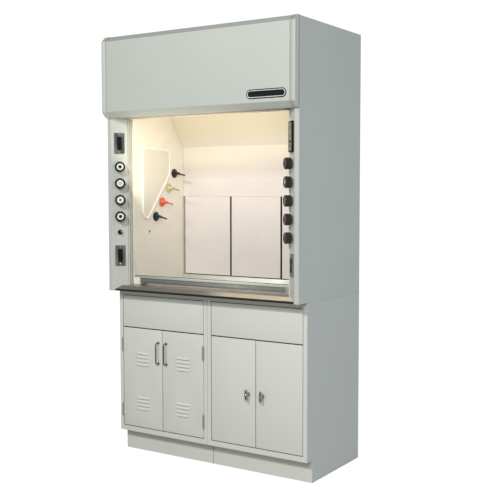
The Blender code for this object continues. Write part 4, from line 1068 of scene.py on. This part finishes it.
def t_handle(name, body, px, node):
    """A locking T handle: a round rose, a stem, an upright grip and the lock's face with its keyway."""
    m = facing((px, Y_CABINET - 0.0003, 0.4250), (0, -1, 0))
    bm = bmesh.new()
    put_lathe(bm, [(0, 0.0220), (0.0066, 0.0220), (0.0070, 0.0190), (0.0072, 0.0080), (0.0084, 0.0058), (0.0100, 0.0044), (0.0109, 0.0028), (0.0111, 0.0012), (0.0111, 0.0002), (0, 0.0002)], 48, 0)
    # grip: an elongated, waisted bar
    shape = []
    for k in range(48):
        a = 2 * math.pi * k / 48
        y = 0.0288 * math.sin(a)
        w = 0.0076 * abs(math.cos(a)) ** 0.75 * (1.0 - 0.16 * math.cos(2 * math.pi * abs(y) / 0.0288 - math.pi) * (abs(y) / 0.0288))
        shape.append((math.copysign(w, math.cos(a)), y))
    prof = [(0.0175, 0.86), (0.0190, 0.97), (0.0215, 1.0), (0.0255, 1.0), (0.0285, 0.95), (0.0300, 0.82)]
    rings = [[bm.verts.new((x * k, y * (0.5 + 0.5 * k), h)) for x, y in shape] for h, k in prof]
    for a, b in zip(rings, rings[1:]):
        for i in range(48):
            j = (i + 1) % 48
            bm.faces.new((a[i], a[j], b[j], b[i]))
    bm.faces.new(list(reversed(rings[0])))
    bm.faces.new(rings[-1])
    put_lathe(bm, [(0, 0.0313), (0.0058, 0.0313), (0.0064, 0.0308), (0.0066, 0.0296), (0, 0.0296)], 40, 2)
    # the keyway is a thin black bar: painted shade
    put_box(bm, (-0.0005, -0.0038, 0.0309), (0.0005, 0.0038, 0.0315), 1)
    finish_mesh(name, bm, [chrome, slot_shade, bright], body, smooth=40, replaces=node, matrix=m)


for side, x0, x1 in (("left", -HALF, -0.0006), ("right", 0.0006, HALF)):
    a, b = x0 + STILE + 0.0030, x1 - STILE - 0.0030
    folded_pan(f"apron_{side}_front", a, b, 0.7148, 0.8930, "hood", f"apron_{side}")
    middle = (a + b) / 2
    first, second = (1, 2) if side == "left" else (3, 4)
    for number, dx0, dx1, hinge_x in ((first, a, middle - 0.0016, x0 + STILE + 0.0010), (second, middle + 0.0016, b, x1 - STILE - 0.0010)):
        inward = 1 if hinge_x < middle else -1
        body = f"door_{number}"
        cx = (dx0 + dx1) / 2
        cutters = []
        if side == "left":
            bm = bmesh.new()
            for zc in (0.5370, 0.2850):
                for k in range(4):
                    z = zc + (k - 1.5) * PITCH
                    put_box(bm, (cx - 0.043, Y_CABINET - 0.004, z - 0.0036), (cx + 0.043, Y_CABINET + 0.004, z + 0.0016))
            me = bpy.data.meshes.new("vent_cutter")
            bm.to_mesh(me)
            bm.free()
            cutter = bpy.data.objects.new("vent_cutter", me)
            bpy.context.scene.collection.objects.link(cutter)
            cutters.append(cutter)
        skin = folded_pan(f"door_{number}_skin", dx0, dx1, 0.1488, 0.7096, body, f"door_{number}", cutters)
        if cutters:
            bake_modifiers(skin)
            for c in cutters:
                bpy.data.objects.remove(c, do_unlink=True)
            louvres(f"door_{number}_louvres", body, cx)
            for label, zc in (("upper", 0.6110), ("lower", 0.2400)):
                hinge(f"door_{number}_hinge_{label}", body, hinge_x, Y_CABINET - 0.0056, zc, inward)
            bar_pull(f"door_{number}_bar_pull", body, (x0 + x1) / 2 - inward * 0.0275, f"door_{number}_pull")
        else:
            t_handle(f"door_{number}_t_handle", f"handle_{number}", (x0 + x1) / 2 - inward * 0.044, f"door_{number}_handle")

# ------------------------------------------------------------------ exhaust collar and roof furniture
bm = bmesh.new()
ri, ro, foot = 0.1235, 0.1265, 0.150
z0, z1 = 2.1063, Z_TOP - 0.0003
put_lathe(
    bm,
    [(ri, z1), (foot - 0.001, z1), (foot, z1 - 0.001), (foot, z1 - 0.0025), (foot - 0.001, z1 - 0.003), (ro + 0.004, z1 - 0.003), (ro + 0.001, z1 - 0.004), (ro, z1 - 0.007),
     (ro, z1 - 0.060), (ro + 0.002, z1 - 0.063), (ro + 0.002, z1 - 0.069), (ro, z1 - 0.072), (ro, z0 + 0.006), (ro + 0.003, z0 + 0.003), (foot, z0 + 0.003), (foot, z0), (ri, z0), (ri, z1)],
    112, 0, place=Matrix.Translation((0, 0.190, 0)),
)
finish_mesh("exhaust_collar_duct", bm, [duct_steel], "hood", smooth=35, replaces="exhaust_collar")
bm = bmesh.new()
for k in range(8):
    a = 2 * math.pi * (k + 0.5) / 8
    place = Matrix.Translation((0.138 * math.cos(a), 0.190 + 0.138 * math.sin(a), z0 + 0.003))
    put_lathe(bm, [(0, 0.0042), (0.0050, 0.0042), (0.0056, 0.0036), (0.0056, 0.0004), (0, 0.0004)], 6, 0, place=place)
finish_mesh("exhaust_collar_bolts", bm, [zinc], "hood", smooth=30)

bm = bmesh.new()
for x in (-0.400, 0.400):
    put_box(bm, (x - 0.020, -0.190, 2.2701), (x + 0.020, 0.345, 2.2760), 0, 0.002, 2)
finish_mesh("roof_stiffeners", bm, [panel_paint], "hood", smooth=35)

# black strip in the joint between the two cabinets, at the toe base in front and down the back: it closes the gap, and
# its black is painted shade
bm = bmesh.new()
put_box(bm, (-0.0011, -0.1727, 0.0012), (0.0011, -0.1690, 0.1168), 0, 0.0002, 1)
put_box(bm, (-0.0011, 0.3300, 0.0012), (0.0011, 0.3420, 0.9050), 0, 0.0002, 1)
finish_mesh("cabinet_joint_shade_strip", bm, [black_shade_strip], "hood", smooth=30)

# screws that hold the rear panel, in their real rows
bm = bmesh.new()
for x in (-0.590, -0.30, 0.0, 0.30, 0.590):
    for z in (0.945, 1.62, 2.298):
        put_lathe(bm, [(0, 0.0003), (0.0030, 0.0002), (0.0042, -0.0006), (0.0042, -0.0015), (0, -0.0015)], 20, 0, place=facing((x, Y_REAR - 0.0001, z), (0, 1, 0)))
finish_mesh("rear_panel_screws", bm, [zinc], "hood", smooth=35)

# ------------------------------------------------------------------ stage: floor, light, camera
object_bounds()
floor_mat = Mat("studio_floor", (0.36, 0.36, 0.355), 0.9)
glow = floor_mat.nt.nodes.new("ShaderNodeEmission")
glow.inputs["Color"].default_value = (1, 1, 1, 1)
glow.inputs["Strength"].default_value = 0.90
both = floor_mat.nt.nodes.new("ShaderNodeAddShader")
floor_mat.nt.links.new(floor_mat.b.outputs[0], both.inputs[0])
floor_mat.nt.links.new(glow.outputs[0], both.inputs[1])
ray = floor_mat.nt.nodes.new("ShaderNodeLightPath")
pick = floor_mat.nt.nodes.new("ShaderNodeMixShader")
floor_mat.nt.links.new(ray.outputs["Is Camera Ray"], pick.inputs[0])
floor_mat.nt.links.new(floor_mat.b.outputs[0], pick.inputs[1])
floor_mat.nt.links.new(both.outputs[0], pick.inputs[2])
floor_mat.nt.links.new(pick.outputs[0], floor_mat.nt.nodes["Material Output"].inputs["Surface"])
bm = bmesh.new()
bmesh.ops.create_grid(bm, x_segments=1, y_segments=1, size=30.0)
me = bpy.data.meshes.new("studio_floor")
bm.to_mesh(me)
bm.free()
me.materials.append(floor_mat.mat)
floor = bpy.data.objects.new("studio_floor", me)
floor.location.z = -0.0006
bpy.context.scene.collection.objects.link(floor)

world = bpy.data.worlds.new("studio")
bpy.context.scene.world = world
world.use_nodes = True
nt = world.node_tree
nt.nodes.clear()
out = nt.nodes.new("ShaderNodeOutputWorld")
seen = nt.nodes.new("ShaderNodeBackground")
seen.inputs["Color"].default_value = (1, 1, 1, 1)
seen.inputs["Strength"].default_value = 1.05
lit = nt.nodes.new("ShaderNodeBackground")
lit.inputs["Color"].default_value = (0.95, 0.99, 1.0, 1)
lit.inputs["Strength"].default_value = 0.34
path = nt.nodes.new("ShaderNodeLightPath")
mixer = nt.nodes.new("ShaderNodeMixShader")
nt.links.new(path.outputs["Is Camera Ray"], mixer.inputs[0])
nt.links.new(lit.outputs[0], mixer.inputs[1])
nt.links.new(seen.outputs[0], mixer.inputs[2])
nt.links.new(mixer.outputs[0], out.inputs["Surface"])


def area(name, location, target, size, energy, colour=(1, 1, 1), size_y=None, camera=False, mirrored=True):
    data = bpy.data.lights.new(name, "AREA")
    data.energy = energy
    data.color = colour
    data.size = size
    if size_y:
        data.shape = "RECTANGLE"
        data.size_y = size_y
    ob = bpy.data.objects.new(name, data)
    ob.location = location
    ob.rotation_euler = (Vector(target) - Vector(location)).to_track_quat("-Z", "Y").to_euler()
    ob.visible_camera = camera
    ob.visible_glossy = mirrored
    bpy.context.scene.collection.objects.link(ob)
    return ob


def around(az, el, dist, centre=(0, -0.2, 1.2)):
    a, e = math.radians(az), math.radians(el)
    return Vector(centre) + dist * Vector((math.sin(a) * math.cos(e), -math.cos(a) * math.cos(e), math.sin(e)))


area("key", around(3, 33, 6.0), (0, -0.2, 0.9), 0.40, 156, (1.0, 0.99, 0.965))
area("near_fill", (1.85, -3.20, 2.45), (0.34, -0.2, 0.46), 0.9, 43, (1.0, 0.99, 0.965), mirrored=False)
area("side_soft", (6.0, 0.8, 0.5), (0.6, 0.15, 1.0), 1.8, 114, (0.94, 0.99, 1.0), mirrored=False)
area("chamber_lamp", (0, -0.080, 2.0985), (0, -0.050, 1.0), 0.86, 1.25, (1.0, 0.83, 0.58), size_y=0.20)
area("chamber_fill", (-0.10, -0.262, 1.60), (-0.16, 0.25, 1.92), 0.76, 1.85, (1.0, 0.89, 0.70), size_y=0.40, mirrored=False)
area("liner_fill", (0.36, -0.10, 1.45), (-0.51, -0.06, 1.45), 0.24, 0.95, (1.0, 0.92, 0.80), size_y=0.80, mirrored=False)

scene = bpy.context.scene
scene.view_settings.view_transform = "Standard"
scene.view_settings.look = "None"

cam_data = bpy.data.cameras.new("camera")
cam_data.lens = 64.709
cam_data.sensor_width = 36.0
cam = bpy.data.objects.new("camera", cam_data)
cam.location = (2.76683, -4.09887, 1.47528)
cam.rotation_euler = (math.pi / 2 - 0.0647663, 0.00079, 0.572425)
scene.collection.objects.link(cam)
scene.camera = cam
